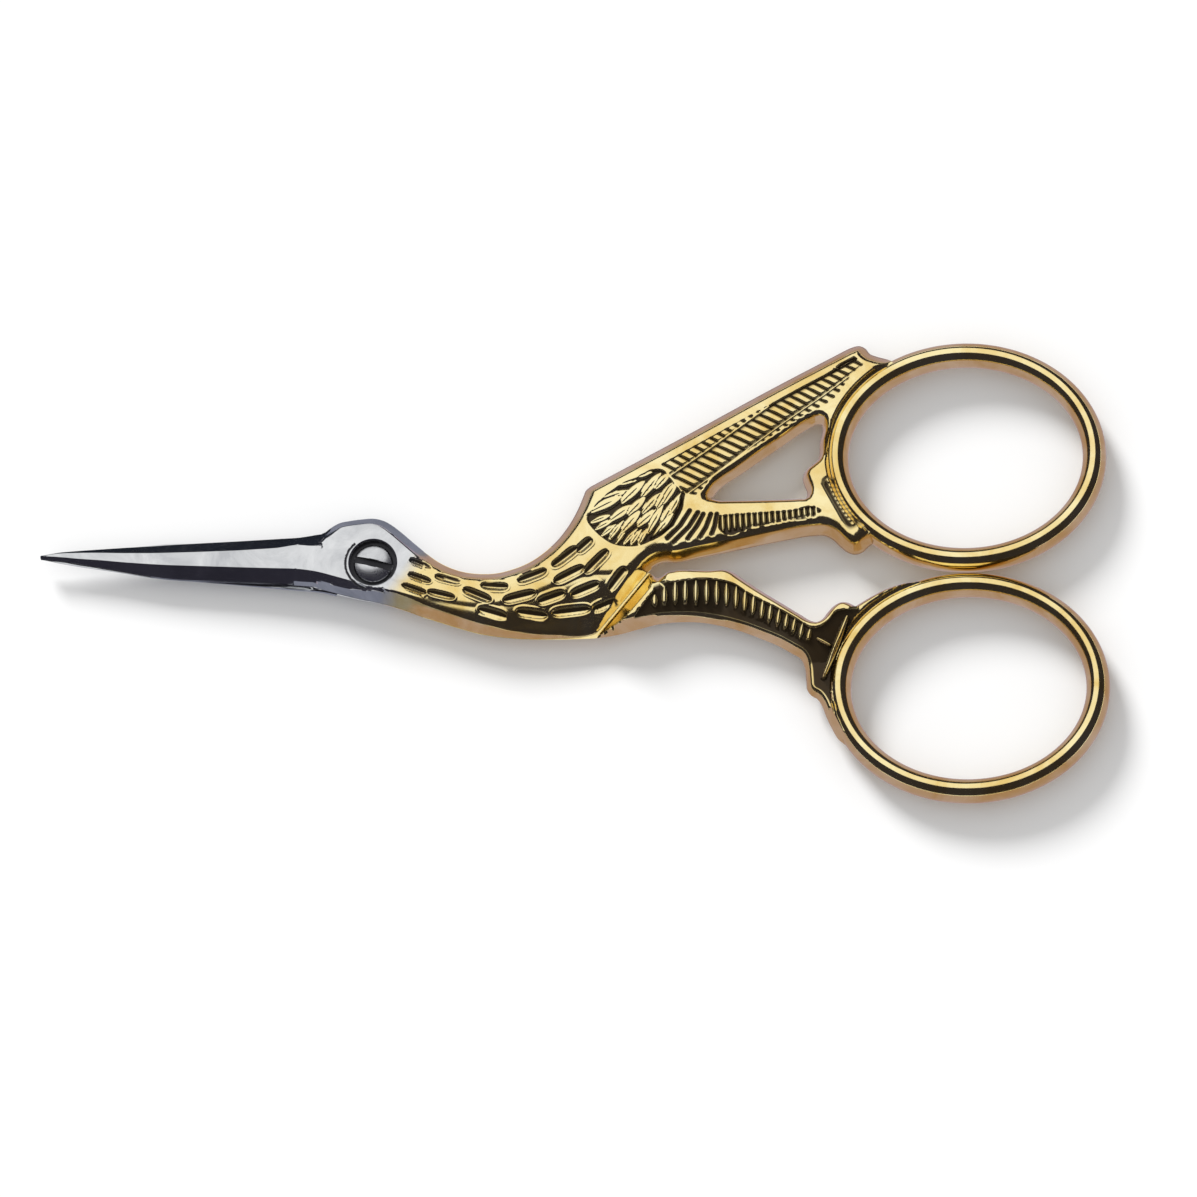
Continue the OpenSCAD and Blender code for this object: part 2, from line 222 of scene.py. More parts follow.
def plan(loops, walls, steep, lines, spacing, steps):
    """Points and triangles that fill the loops. The rows lie at the given distances from the walls, and the
    net inside is a grid whose odd rows are moved by half a step."""
    edge = np.vstack(loops)
    low, high = edge.min(0), edge.max(0)
    xs, ys = np.meshgrid(np.arange(low[0], high[0], spacing), np.arange(low[1], high[1], spacing * 0.866))
    net = np.stack([(xs + (np.arange(len(xs)) % 2)[:, None] * spacing / 2).ravel(), ys.ravel()], 1)
    net = net[within(net, loops)]
    net = net[reach(net, [np.vstack([loop, loop[:1]]) for loop in loops]) > spacing * 0.6]
    rows = []
    if walls:
        net = net[wall_reach(net, walls, steep) > steps[-1] + spacing * 0.6]
        for wall, times in [(one, 1) for one in walls] + [(one, STEEP) for one in steep]:
            run = np.gradient(wall, axis=0)
            normal = np.stack([-run[:, 1], run[:, 0]], 1) / np.linalg.norm(run, axis=1)[:, None]
            rows += [wall + normal * s * r / times for r in steps for s in (-1, 1)]
        rows = np.vstack(rows)
        rows = rows[within(rows, loops)]
        far = wall_reach(rows, walls, steep)
        rows = rows[np.abs(far[:, None] - np.array(steps)).min(1) < 0.02]
        rows = rows[reach(rows, [np.vstack([loop, loop[:1]]) for loop in loops]) > 0.08]
        rows = [rows]
    if lines:
        net = net[reach(net, lines) > spacing * 0.45]
        if rows:
            rows = [rows[0][reach(rows[0], lines) > 0.04]]
    points = np.vstack([edge, *rows, net, *lines])
    ties, at = [], 0
    for loop in loops:
        k = np.arange(len(loop))
        ties.append(np.stack([at + k, at + (k + 1) % len(loop)], 1))
        at += len(loop)
    at = len(points) - sum(len(line) for line in lines)
    for line in lines:
        k = np.arange(len(line) - 1)
        ties.append(np.stack([at + k, at + k + 1], 1))
        at += len(line)
    found = delaunay_2d_cdt(
        [Vector(q) for q in points.tolist()], np.vstack(ties).tolist(), [], 1, 1e-5, False)
    flat = np.array([tuple(v) for v in found[0]])
    tris = np.array(found[2])
    doubt = reach(flat, [*(np.vstack([loop, loop[:1]]) for loop in loops), *lines]) < 1e-4
    check = doubt[tris].all(1)
    middle = flat[tris[check]].mean(1)
    keep = ~check
    keep[check] = within(middle, loops)
    return flat, tris[keep]


def weld(points, faces):
    """Corners at the same place become one, and faces that lose a corner are dropped."""
    key = np.round(points * 2e3).astype(np.int64)
    _, first, which = np.unique(key, axis=0, return_index=True, return_inverse=True)
    faces = which.reshape(-1)[faces]
    a, b, c = faces.T
    return first, faces[(a != b) & (b != c) & (c != a)]


def rim_walls(points, faces):
    """Two triangles under each open edge of the top face, down to the bottom face's copy of that edge.
    Both are found by their place in the plan."""
    key = np.round(points[:, :2] * 2e3).astype(np.int64)
    half = faces[0]
    ways = np.vstack([half[:, [0, 1]], half[:, [1, 2]], half[:, [2, 0]]])
    size = len(points)
    code = ways[:, 0] * size + ways[:, 1]
    open_ways = ways[~np.isin(code, ways[:, 1] * size + ways[:, 0])]
    low = np.unique(faces[1])
    place = key[:, 0] * 10**7 + key[:, 1]
    order = low[np.argsort(place[low])]
    under = order[np.clip(np.searchsorted(place[order], place[open_ways]), 0, len(order) - 1)]
    a, b = open_ways.T
    c, d = under.T
    return np.vstack([np.stack([b, a, c], 1), np.stack([b, c, d], 1)])


def plate(loops, walls, top, bottom, lines=(), low_lines=(), fine=0.075, coarse=0.14, steps=WALL_ROWS,
          steep=()):
    """Closed plate. top and bottom give a height and a share of painted shade in the hollows for each point
    and its distance from the wall."""
    parts, faces, values, at = [], [], [], 0
    for height, spacing, extra in ((top, fine, list(lines)), (bottom, coarse, list(low_lines))):
        flat, tris = plan(loops, walls, list(steep), extra, spacing, steps)
        far = wall_reach(flat, walls, list(steep))
        z, hollow = height(flat, far)
        a, b, c = flat[tris[:, 0]], flat[tris[:, 1]], flat[tris[:, 2]]
        turn = (b[:, 0] - a[:, 0]) * (c[:, 1] - a[:, 1]) - (b[:, 1] - a[:, 1]) * (c[:, 0] - a[:, 0])
        tris = np.where((turn > 0)[:, None] == (at == 0), tris, tris[:, ::-1])
        parts.append(np.column_stack([flat, z]))
        values.append(hollow)
        faces.append(tris + at)
        at += len(flat)
    points = np.vstack(parts)
    faces = np.vstack([*faces, rim_walls(points, faces)])
    first, faces = weld(points, faces)
    return points[first], faces, np.concatenate(values)[first]


# %% Write a mesh
def piece(name, points, faces, body, nodes, hollow=None, sharp=None):
    """Mesh object at the origin, in metres. It rides on a body and stands for nodes."""
    faces = np.array(faces)
    mesh = bpy.data.meshes.new(name)
    mesh.vertices.add(len(points))
    mesh.vertices.foreach_set("co", (np.array(points) * MM).astype(np.float32).ravel())
    mesh.loops.add(faces.size)
    mesh.loops.foreach_set("vertex_index", faces.astype(np.int32).ravel())
    mesh.polygons.add(len(faces))
    mesh.polygons.foreach_set("loop_start", np.arange(0, faces.size, faces.shape[1], dtype=np.int32))
    mesh.polygons.foreach_set("use_smooth", np.ones(len(faces), bool))
    mesh.update(calc_edges=True)
    mesh.validate()
    # The share of painted shade is kept as a point attribute that the finishes read.
    if hollow is not None:
        layer = mesh.attributes.new("hollow", "FLOAT", "POINT")
        layer.data.foreach_set("value", np.array(hollow, np.float32))
    if sharp is not None:
        mesh.set_sharp_from_angle(angle=math.radians(sharp))
    shape = bpy.data.objects.new(name, mesh)
    bpy.context.scene.collection.objects.link(shape)
    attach(shape, body)
    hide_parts(*nodes)
    low, high = np.round(np.array(points).min(0), 2), np.round(np.array(points).max(0), 2)
    print(f"{name}: {len(faces)} faces, box {low} {high}")


# %% [markdown]
# ## The front half's outline
# The upper half is boss, neck, body, wing and upper leg in one. Its edge starts at the notch behind
# the cutting edge, rises over the boss, dips along the neck and climbs the breast to the shoulder.
# The wing is a straight bar. Where the edge meets the ring it goes on under the ring's bar.

# %% Edge of the front half
boss_top = [(-4.5, 2.93), (-4.2, 3.1), (-3.86, 3.38), (-3.02, 3.88), (-2.2, 4.06), (-1.2, 4.2), (0, 4.25),
            (0.8, 4.03), (1.3, 3.75), (2.1, 3.15), (3, 2.38), (PLATE_X, 1.36)]
neck_top = [
    (PLATE_X, 1.36), (5.5, 0.43), (6.6, -0.1), (7.8, -0.44), (9, -0.56), (10.4, -0.5), (11.8, -0.13),
    (13.2, 0.48), (14.3, 1.25), (15.4, 2.3), (16.4, 3.65), (17.1, 4.95), (17.6, 6.2)]
shoulder = [(17.6, 6.2), (17.8, 6.72), (18.2, 7.08)]
wing_top = [(18.2, 7.08), (26.1, 11.47), (33.2, 15.5), (39.4, 18.88)]
wing_end = [
    (39.4, 18.88), (40.1, 19.22), (40.85, 19.37), (41.3, 19.15), (41.7, 18.68), (42.3, 18.44), (43.2, 18.2)]
leg_low = [
    (42.9, 2.5), (41.8, 1.78), (41.35, 1.34), (40.74, 1.12), (40.1, 1.27), (39.4, 1.8), (38.75, 2.42),
    (38.1, 2.75), (37.2, 2.74), (34.4, 2.27), (31, 1.55), (27.6, 0.83), (25.4, 0.4), (24.6, 0.43),
    (23.9, 0.2), (23.36, -0.22)]
step_side = [(23.36, -0.22), (21.7, -2.3), (19.3, -5.3)]
neck_low = [
    (19.3, -5.3), (18.9, -5.7), (18.2, -5.95), (17.5, -6.08), (15.8, -6.2), (14.1, -6.24), (12.4, -6.2),
    (10.7, -6.05), (9, -5.76), (7.3, -5.28), (5.6, -4.75), (PLATE_X, -4.3)]
boss_low = [
    (PLATE_X, -4.3), (3.1, -3.87), (2.2, -3.56), (0.5, -3.09), (-1.1, -2.76), (-2.2, -2.5), (-3.4, -2.2),
    (-4.3, -1.95), (-5.02, -1.77)]
gap_edge = [
    (28.5, 5.98), (29.05, 6.75), (30.9, 8.1), (34.2, 10.45), (36.9, 12.3), (37.35, 12.52), (37.68, 12.45),
    (37.76, 12.1), (37.55, 10.8), (37.38, 9.35), (36.95, 8.95), (36.4, 8.45), (36.15, 7.7), (36.35, 7),
    (36.55, 6.4), (36.45, 6.03), (36, 6), (32.6, 5.88), (29.3, 5.82), (28.5, 5.98)]


def under_ring(centre, start, end, ring_in=0.85):
    """Line just inside the outer edge of a ring's bar, between two angles."""
    return oval(centre, RING_OUT - ring_in, start, end)


ring_side = under_ring(FRONT_RING, 122.5, 228)
top_way = [stretch(s) for s in (neck_top, shoulder, wing_top, wing_end)]
low_way = [stretch(s) for s in (leg_low, step_side, neck_low)]
gap_way = np.vstack([stretch(gap_edge[:19])[:-1], stretch(gap_edge[18:])])
boss_way = [stretch(boss_top), stretch(boss_low)]
front_walls = [*boss_way, *top_way, *low_way]


def joined(a, b):
    """Straight stretch from the end of one line to the start of the next."""
    return resample(np.array([a[-1], b[0]]), 0.15)


front_loop = loop_of([
    *top_way, joined(top_way[-1], ring_side), ring_side, joined(ring_side, low_way[0]), *low_way,
    joined(low_way[-1], top_way[0])])
print("front half's edge:", len(front_loop), "points")

# %% [markdown]
# ## The wall and its rounded shoulder
# A die needs draft, so the wall leans in from the parting line, then a rounded shoulder leads to
# the face. Both are one curve of depth below the face over the distance from the edge. The body is
# also crowned like a bird's breast: its face falls away below a crest line, and that is what makes
# the lower breast mirror the dark room while the upper breast stays bright.

# %% Depth below the face
WALL_TILT = math.radians(64)
SOFT, CRISP = 0.95, 0.28


def wall_drop(p, far, floor, soft=SOFT):
    """Depth below the face at a distance from the edge: a wall at a steady tilt, then an arc that ends level.
    The arc is tight on the ground steel and wide on the forged part. The edge itself is at the floor."""
    deep = FULL - MEET
    radius = CRISP + (soft - CRISP) * ease(p[:, 0], 0, 10)
    run = (deep - radius * (1 - math.cos(WALL_TILT))) / math.tan(WALL_TILT)
    left = np.clip(run + radius * math.sin(WALL_TILT) - far, 0, None)
    arc = radius - np.sqrt(np.clip(radius**2 - left**2, 0, None))
    return np.where(far < run, deep - far * math.tan(WALL_TILT), arc) * (FULL - floor) / deep


CROWN_CURVE, CROWN_SLOPE, CROWN_TURN, CROWN_END = 0.075, 0.28, 3, 3.6
crest = stretch([
    (-6, 2), (0, 1), (4, -0.9), (7, -2.2), (10, -2.5), (13, -1.6), (16, -0.4), (18.5, 0.3), (20.5, 0.4),
    (22, 1.1), (23.5, 2.1), (25, 2.6)], 0.4)


def lower_of(a, b, soft=0.3):
    """The lower of two heights, rounded where they cross: min - soft / 4 * (1 - difference / soft)^2."""
    return np.minimum(a, b) - soft / 4 * np.clip(1 - np.abs(a - b) / soft, 0, 1)**2


def crown(p):
    """Fall of the body's face below its crest line: a parabola of the distance from it, then a slope."""
    below = np.clip(-side_of(p, crest) - 0.25, 0, 9)
    curved = CROWN_CURVE * np.minimum(below, CROWN_TURN)**2
    fall = curved + CROWN_SLOPE * np.clip(below - CROWN_TURN, 0, CROWN_END)
    return fall * ease(p[:, 0], 2, 8) * (1 - ease(p[:, 0] + 0.6 * p[:, 1], 22.5, 25))


# %% [markdown]
# ## Cuts and feathers
# The die's carving is made of three strokes: a leaf that stands up, a cut with one steep side, and
# an even groove. Each is a function of the distance along a short line and across it, so the whole
# plumage is a list of short lines. Sculpting by hand would look as good but couldn't be rerun.


# %% Three kinds of stroke
def local(p, a, b):
    """Share of the way from a to b, and the distance across it, positive on the left."""
    a, b = np.array(a, float), np.array(b, float)
    size = np.linalg.norm(b - a)
    e = (b - a) / size
    q = p - a
    return (q @ e) / size, q[:, 1] * e[0] - q[:, 0] * e[1]


def leaf(p, a, b, wide, blunt=0.6):
    """Raised leaf: 1 on its spine, and 1 - (across / width)^2 beside it, where the width swells and
    shrinks along it as a power of a sine."""
    t, v = local(p, a, b)
    w = wide * np.sin(np.pi * np.clip(t, 0.001, 0.999))**blunt
    return np.where((t > 0) & (t < 1), np.clip(1 - (v / w)**2, 0, 1), 0)


def mark(p, a, b, wide):
    """Cut with a blunt oval edge. Across it the depth grows from 0 at the upper edge to 1 just below the
    middle, and shrinks to 0 at the lower edge. Also the height of a round lip that stands about the edge,
    found from (across / width)^2 + (along / half length)^4, which is 1 on the edge, and painted shade
    over the upper part of the cut."""
    t, v = local(p, a, b)
    ends = np.clip(1 - (2 * t - 1)**4, 0, 1)
    across = v / (wide * np.sqrt(np.maximum(ends, 1e-4)))
    deep = np.interp(across, (-1, -0.3, -0.1, 0.1, 1), (0, 0.85, 1, 0.9, 0)) * (ends > 0)
    out = (v / wide)**2 + (2 * t - 1)**4
    lip = np.exp(-((out - 1.45) / 0.38)**2)
    shade = deep * ease(across, -0.25, 0)
    return deep, lip, shade


def groove(p, line, wide):
    """Groove along a line: 1 - (distance / width)^2, ended round."""
    return np.clip(1 - (reach(p, [np.array(line, float)]) / wide)**2, 0, 1)


# %% [markdown]
# ## The plumage of the neck
# Short cuts in four rows follow the neck, and grow longer towards the breast. Each has its steep
# wall on the upper side, which mirrors the dark, and a lip below it that catches the light.

# %% Cuts on the neck
neck_cuts = [
    ((3.1, 0.3), (4.9, -0.4)), ((5.3, -1.15), (7.5, -1.7)), ((9.2, -1.95), (11.5, -2.1)),
    ((12.3, -1.6), (14.7, -0.65)), ((15.2, -0.3), (17.3, 1.35)), ((17.25, 0.95), (18.5, 2.1)),
    ((3, -0.95), (4.95, -1.65)), ((7.7, -2.3), (10.1, -3.3)), ((11.1, -3.3), (13.8, -2.6)),
    ((15.4, -1.65), (17.9, -0.35)), ((18, -0.85), (19.9, 1.1)), ((2.5, -1.9), (4.6, -2.65)),
    ((4.7, -2.5), (7, -3.05)), ((9, -4), (11.4, -4.65)), ((14, -3.4), (16.3, -2.55)),
    ((16.8, -2.75), (19.2, -1.75)), ((20, -2.3), (21.4, -0.4)), ((12.2, -4.2), (14.8, -4.45)),
    ((15.2, -4.25), (18.4, -3.8)), ((18.6, -3.9), (20.7, -3.05))]
MARK_WIDE, MARK_DEEP, LIP = 0.43, 0.2, 0.07


def neck_relief(p):
    """Depth of the cuts, height of their lips, and painted shade on each cut's upper side and shallow edge.
    """
    deep, lip, shade = np.zeros(len(p)), np.zeros(len(p)), np.zeros(len(p))
    for a, b in neck_cuts:
        grow = float(np.interp(a[0], (2, 9), (0.62, 1)))
        near = (np.abs(p - (np.array(a) + b) / 2) < 2.6).all(1)
        one = mark(p[near], a, b, MARK_WIDE * grow)
        deep[near] = np.maximum(deep[near], one[0])
        lip[near] = np.maximum(lip[near], one[1] * grow)
        shade[near] = np.maximum(shade[near], one[2])
    # Painted shade: the shallow edge of each cut is darkened as well as its upper side.
    rim = 0.45 * ease(deep, 0, 0.3) * (deep < 0.4)
    return MARK_DEEP * deep, LIP * lip * (deep == 0), np.maximum(shade, rim)


# %% [markdown]
# ## The shoulder, the wing and the legs
# The shoulder is an oval field of overlapping leaves. From it three rows of slanted barbs run out
# along the wing and narrow towards the ring, parted by two quills. The legs carry upright ribs.
# Each field is sunk below a smooth rim, and what stands in it rises back to the rim's height.

# %% Shoulder leaves
oval_edge = stretch([
    (17.95, 4.15), (18.15, 3.5), (18.6, 2.9), (19.4, 2.15), (20.3, 1.6), (21.6, 1.38), (22.7, 1.5),
    (23.6, 1.9), (24.5, 2.4), (25.2, 3.1), (25.75, 3.9), (26.2, 4.9), (26.1, 5.9), (25.2, 7.2), (24.4, 8.1),
    (23.4, 8.1), (22.2, 7.5), (20.9, 6.9), (19.7, 6), (18.7, 5), (17.95, 4.15)])
leaves = [
    ((20.7, 6.75), (18.9, 5.35), 0.3), ((21.6, 6.3), (19.3, 5.5), 0.3), ((21, 5.75), (18.3, 4.35), 0.42),
    ((20.1, 4.15), (18.35, 3.45), 0.28), ((20.35, 3.75), (18.75, 2.85), 0.26),
    ((20.6, 3.35), (19.3, 2.3), 0.26), ((22.4, 7.35), (20.5, 6.75), 0.3), ((23.6, 7.9), (21, 7.2), 0.3),
    ((22.95, 7.15), (20.9, 5.1), 0.42), ((21.9, 5), (20, 3.6), 0.42), ((21.2, 3.7), (19.9, 1.95), 0.24),
    ((21.65, 3.4), (20.5, 1.6), 0.22), ((24.3, 7.85), (22.6, 5.6), 0.42), ((23, 5.7), (21.5, 4.1), 0.4),
    ((22.6, 4.5), (21, 2.6), 0.4), ((22.4, 3), (21.15, 1.55), 0.22), ((22.75, 2.95), (21.75, 1.5), 0.24),
    ((23.2, 3), (22.4, 1.5), 0.24), ((24.3, 6.1), (22.7, 4.2), 0.36), ((24, 4.6), (22.3, 3.1), 0.4),
    ((25.3, 7), (23.9, 4.6), 0.4), ((24.5, 5), (23.2, 2.5), 0.34), ((25.6, 5.6), (24.3, 3.1), 0.36),
    ((25.4, 4.3), (23.6, 2), 0.3), ((25.1, 7.9), (23.8, 6.4), 0.36), ((25.7, 7.1), (24.5, 5.1), 0.36),
    ((26.05, 6.1), (25.1, 4.3), 0.3)]


def shoulder_relief(p):
    """Height of the leaves over the sunk oval. Each later leaf lies over the ones before it."""
    z = np.zeros(len(p))
    for a, b, wide in leaves:
        t, v = local(p, a, b)
        one = leaf(p, a, b, wide * 1.2, 0.5)
        quill = 0.35 * np.clip(1 - (v / 0.07)**2, 0, 1) * ease(t, 0.15, 0.5) * (one > 0)
        rise = one**0.4 * (0.78 + 0.22 * t) - quill
        z = np.where(one > 0.02, np.maximum(rise, z * (1 - ease(one, 0, 0.3)) + 0.05), z)
    return z


# %% Wing rows
WING_A = np.array([18.2, 7.08])
WING_E = np.array([21.2, 11.8]) / np.hypot(21.2, 11.8)
BARB_E = np.array([0.86, -0.51])
BARB_PITCH = 0.74
QUILL_X = (22, 24.6, 28, 31.5, 34.5, 38, 42)
UPPER_QUILL = (3.1, 2.95, 2.5, 1.9, 1.45, 1.4, 1.4)
LOWER_QUILL = (5.6, 5.35, 4.75, 4.05, 3.5, 3, 2.2)


def wing_relief(p):
    """Barbs and quills as heights from 0, the sunk ground, to 1, the rim. Across is the distance below the
    wing's upper edge. A barb's number comes from the way along the wing, sheared by the barb's slant."""
    q = p - WING_A
    along = q @ WING_E
    across = q[:, 0] * WING_E[1] - q[:, 1] * WING_E[0]
    first = np.interp(p[:, 0], QUILL_X, UPPER_QUILL)
    second = np.interp(p[:, 0], QUILL_X, LOWER_QUILL)
    slant = (BARB_E @ WING_E) / (BARB_E[0] * WING_E[1] - BARB_E[1] * WING_E[0])
    z = np.zeros(len(p))
    edge = 1.5 + 0.1 * ease(p[:, 0], 30, 40)
    bands = ((edge, first, 0.2), (np.maximum(first, edge), second, 0.5), (second, second + 1.15, 0))
    for low, high, shift in bands:
        mid = (low + high) / 2
        turn = (along - slant * (across - mid)) / BARB_PITCH + shift
        inside = 1 - (2 * (turn % 1) - 1)**2
        wide = np.clip(high - low, 0.05, 9)
        body = np.clip(1 - ((across - mid) / (0.52 * wide))**4, 0, 1)
        z = np.maximum(z, (np.clip(inside * 1.25, 0, 1)**0.6) * body)
    for quill in (first, second):
        z = np.maximum(z, np.clip(1.05 - ((across - quill) / 0.17)**2, 0, 1) * (quill > edge + 0.1))
    return z, across, edge


# %% Leg ribs
lower_path = stretch([
    (23.9, -3.3), (25.3, -2.7), (27, -2.58), (29.2, -2.6), (31, -3.1), (33, -4.1), (35, -5.15),
    (36.95, -6.3)], 0.05)
RIBS = 18
upper_grooves = [
    [(26.15, 6), (25.9, 4.6), (25.25, 3.3), (24.2, 2.45), (23.6, 2.1)],
    [(26.75, 4.5), (26, 3.25), (24.9, 2.1)], [(27.45, 4.35), (26.7, 3.1), (25.4, 1.75)],
    [(27.9, 4.2), (27.4, 3.2), (26.6, 2.05)], [(28.55, 4.2), (28.15, 3.05), (27.65, 2.2)],
    [(29.05, 4.2), (28.9, 3.2), (28.65, 2.5)]]


def lower_ribs(p):
    """Upright leaves at equal steps along the leg, shorter and closer towards the ring."""
    way = np.linspace(0, 1, RIBS)
    at = np.round((way * 1.12 - 0.12 * way**2) * (len(lower_path) - 1)).astype(int)
    z = np.zeros(len(p))
    for k, c in zip(way, lower_path[at]):
        long = (0.55 + 0.5 * min(k * 9, 1) - 0.48 * max(k - 0.35, 0) / 0.65)
        lean = np.array([0.35 * max(k - 0.4, 0), 1])
        z = np.maximum(z, leaf(p, c - lean * long, c + lean * long, 0.3 - 0.06 * k, 0.5)**0.5)
    return z


def upper_ribs(p):
    """Upright ribs along the upper leg: a row of leaves from the rim down, getting shorter."""
    z = np.zeros(len(p))
    for k in np.linspace(0, 1, 17):
        x = 29.5 + 7.9 * k
        high = np.interp(x, (28, 37.5), (4.15, 4.72))
        low = np.interp(x, (28, 33, 37.5), (2.6, 3.35, 4.2))
        z = np.maximum(z, leaf(p, (x, high + 0.15), (x + 0.1, low - 0.1), 0.21, 0.45)**0.6)
    return z


# %% [markdown]
# ## The front face as one height
# All of it is put together here: crown, wall, sunk fields and what stands in them. The second value
# is painted shade: it is high in the sunk fields, cuts and grooves, and the finish darkens those places
# with it, in place of the shade that falls in them.

# %% Height of the front half
FIELD = 0.24
OVAL_SUNK, OVAL_RIM = 0.2, 0.03
GOLD_SUNK = 0.03
GROOVE_DEEP, BEAD_DEEP, BEADS = 0.16, 0.2, 11
COVE_FLOOR, COVE_RISE = 3.02, 0.5
leg_field = stretch([
    (29.2, 4.1), (29.5, 4.14), (32.7, 4.38), (35.3, 4.58), (37.5, 4.82), (37.9, 4.5), (37.4, 4.15),
    (35, 3.6), (32, 3), (29.7, 2.5), (29.25, 2.9), (29.2, 4.1)])
wing_field = stretch([
    (24.2, 8.55), (27.5, 10.45), (33, 13.6), (38, 16.4), (40.9, 17.85), (41.3, 17.4), (40.2, 16.2),
    (38.9, 14.4), (36.5, 12.9), (33.5, 10.95), (30, 8.55), (28.4, 7.2), (27.3, 5.9), (26.4, 6), (25.4, 7.2),
    (24.2, 8.55)])
bar_upper = ((38.35, 7.3), (40.65, 3.2))


def in_field(p, edge, soft=0.1):
    """1 inside a closed line and 0 outside, eased over a soft width inside it."""
    return np.where(within(p, [edge[:-1]]), ease(reach(p, [edge]), 0, soft), 0)


def ring_cove(p, centre):
    """Height of the hollow between a plate and its ring, over the distance from the bar's outer edge."""
    q = (p - centre) / RING_OUT
    size = np.linalg.norm(q, axis=1)
    out = (size - 1) * np.linalg.norm(p - centre, axis=1) / np.maximum(size, 0.01)
    return COVE_FLOOR + COVE_RISE * ease(out, -0.45, 0.06)


def front_top(p, far):
    """Height of the upper face of the front half, and the painted shade of its sunk places."""
    wall = FULL - wall_drop(p, far, TOP_FLOOR)
    bulge = crown(p)
    base = wall + (lower_of(wall, FULL - bulge) - wall) * ease(bulge, 0, 0.1) * ease(far, 0, 0.1)
    deep, lip, hollow = neck_relief(p)
    z = np.minimum(base - GOLD_SUNK * ease(p[:, 0], 1, 4) - deep + lip * ease(far, 0.6, 1), FULL)
    sunk = in_field(p, oval_edge, 0.16)
    rise = shoulder_relief(p)
    z = z - OVAL_SUNK * sunk * (1 - rise)
    hollow = np.maximum(hollow, sunk * (1 - ease(rise, 0, 0.6)))
    rim = groove(p, oval_edge[14:60], 0.3)
    z = z + OVAL_RIM * rim * (1 - sunk)
    barbs, across, edge = wing_relief(p)
    sunk = in_field(p, wing_field, 0.14) * (1 - in_field(p, oval_edge, 0.1))
    z = z - FIELD * sunk * (1 - 0.92 * barbs)
    hollow = np.maximum(hollow, sunk * (1 - barbs))
    sunk = in_field(p, leg_field, 0.12)
    ribs = upper_ribs(p)
    z = z - FIELD * sunk * (1 - 0.95 * ribs)
    hollow = np.maximum(hollow, sunk * (1 - ribs))
    for line in upper_grooves:
        one = groove(p, line, 0.2) * (far > 0.5)
        z = z - GROOVE_DEEP * one
        hollow = np.maximum(hollow, one)
    a, b = bar_upper
    bar = leaf(p, a, b, 0.4, 0.3)
    t, v = local(p, a, b)
    beads = 0.55 + 0.45 * np.abs(np.sin(np.pi * t * BEADS))
    near = np.clip(1 - (np.abs(v) / 0.75)**2, 0, 1) * ease(t, -0.1, 0.1) * (1 - ease(t, 0.9, 1.1))
    z = z - BEAD_DEEP * near * (1 - bar**0.5 * beads)
    hollow = np.maximum(hollow, near * (1 - bar**0.5 * beads) * 0.8)
    return np.minimum(z, ring_cove(p, FRONT_RING)), hollow


print("front face: cuts", len(neck_cuts), "leaves", len(leaves))

# %% [markdown]
# ## The underside and the passage for the other half
# Under the neck the front half is only half as thick, because the back half crosses there. The
# passage has a straight edge under the body. Beyond it the plate is full, and its underside carries
# the same carving, as both dies are cut alike.

# %% Underside of the front half
passage = np.array([(-9, -30), (50, -30), (50, -0.15), (16.2, -0.15), (13.2, 4.7), (-9, 4.7)])
passage_edge = resample(np.array([(50, -0.15), (16.2, -0.15), (13.2, 4.7)]), 0.15)
passage_edge = passage_edge[(passage_edge[:, 0] < 24) & (passage_edge[:, 1] < 4.5)]


def front_bottom(p, far):
    """Height of the underside: the level of the passage, or the upper face turned over."""
    top, hollow = front_top(p, far)
    away = np.where(within(p, [passage]), 0, reach(p, [np.vstack([passage, passage[:1]])]))
    full = ease(away, 0, 0.05)
    z = TOP_FLOOR + (np.minimum(FULL - top, TOP_FLOOR) - TOP_FLOOR) * full
    return z, hollow * full


points, faces, hollow = plate([front_loop, gap_way[:-1]], front_walls, front_top, front_bottom,
                              low_lines=[passage_edge], steep=[gap_way])
piece("front_shank_carved", points, faces, "front_half", ["front_shank"], hollow, sharp=62)

# %% [markdown]
# ## The back half
# The lower half crosses under the neck as a thin layer, then a slanted step lifts it beside the
# body, and from there it is as thick as the front half. Its leg has a rim along the upper edge
# only. Below the rim the ground leans towards the viewer, so it mirrors the dark between the ribs.

# %% Edge of the back half
back_neck_top = [
    (PLATE_X, 0.62), (5.5, -0.12), (7.2, -0.62), (9, -0.85), (10.6, -0.72), (12.4, -0.5), (15.8, -0.36),
    (19.2, -0.35), (22.3, -0.36), (23.3, -0.5), (23.95, -0.9)]
back_leg_top = [
    (23.95, -0.9), (24.3, -0.82), (24.8, -0.45), (25.4, -0.31), (28.4, -0.28), (29.95, -0.26), (30.5, -0.5),
    (31.1, -0.93), (32.7, -2), (34.5, -3.1), (36.2, -4.15), (37.05, -4.65), (37.5, -4.74), (37.95, -4.52),
    (38.4, -3.95), (38.9, -3.38), (39.4, -3.07), (39.95, -3.02), (40.4, -3.18), (40.75, -3.38)]
back_collar_top = [(40.75, -3.38), (41.3, -3.02), (42.1, -2.52), (43.1, -1.98), (44.5, -1.45), (46.3, -1.15)]
back_low_edge = [
    (40.2, -15.5), (39.5, -14.95), (38.92, -14), (38.38, -12.85), (38.02, -11.95), (37.65, -11.43),
    (37.14, -11.13), (36.82, -10.7), (36.7, -9.85), (36.58, -8.8), (36.25, -8), (35.4, -7.45),
    (34.5, -6.93), (32.8, -6.19), (31.1, -5.55), (29.4, -5.08), (27.7, -4.8), (26, -4.76), (24.3, -4.92),
    (22.6, -5.35), (20.9, -5.82), (19.2, -6.12), (17.5, -6.22), (15.8, -6.26), (12.4, -6.22), (10.7, -6.07),
    (9, -5.79), (7.3, -5.31), (5.6, -4.78), (PLATE_X, -4.33)]
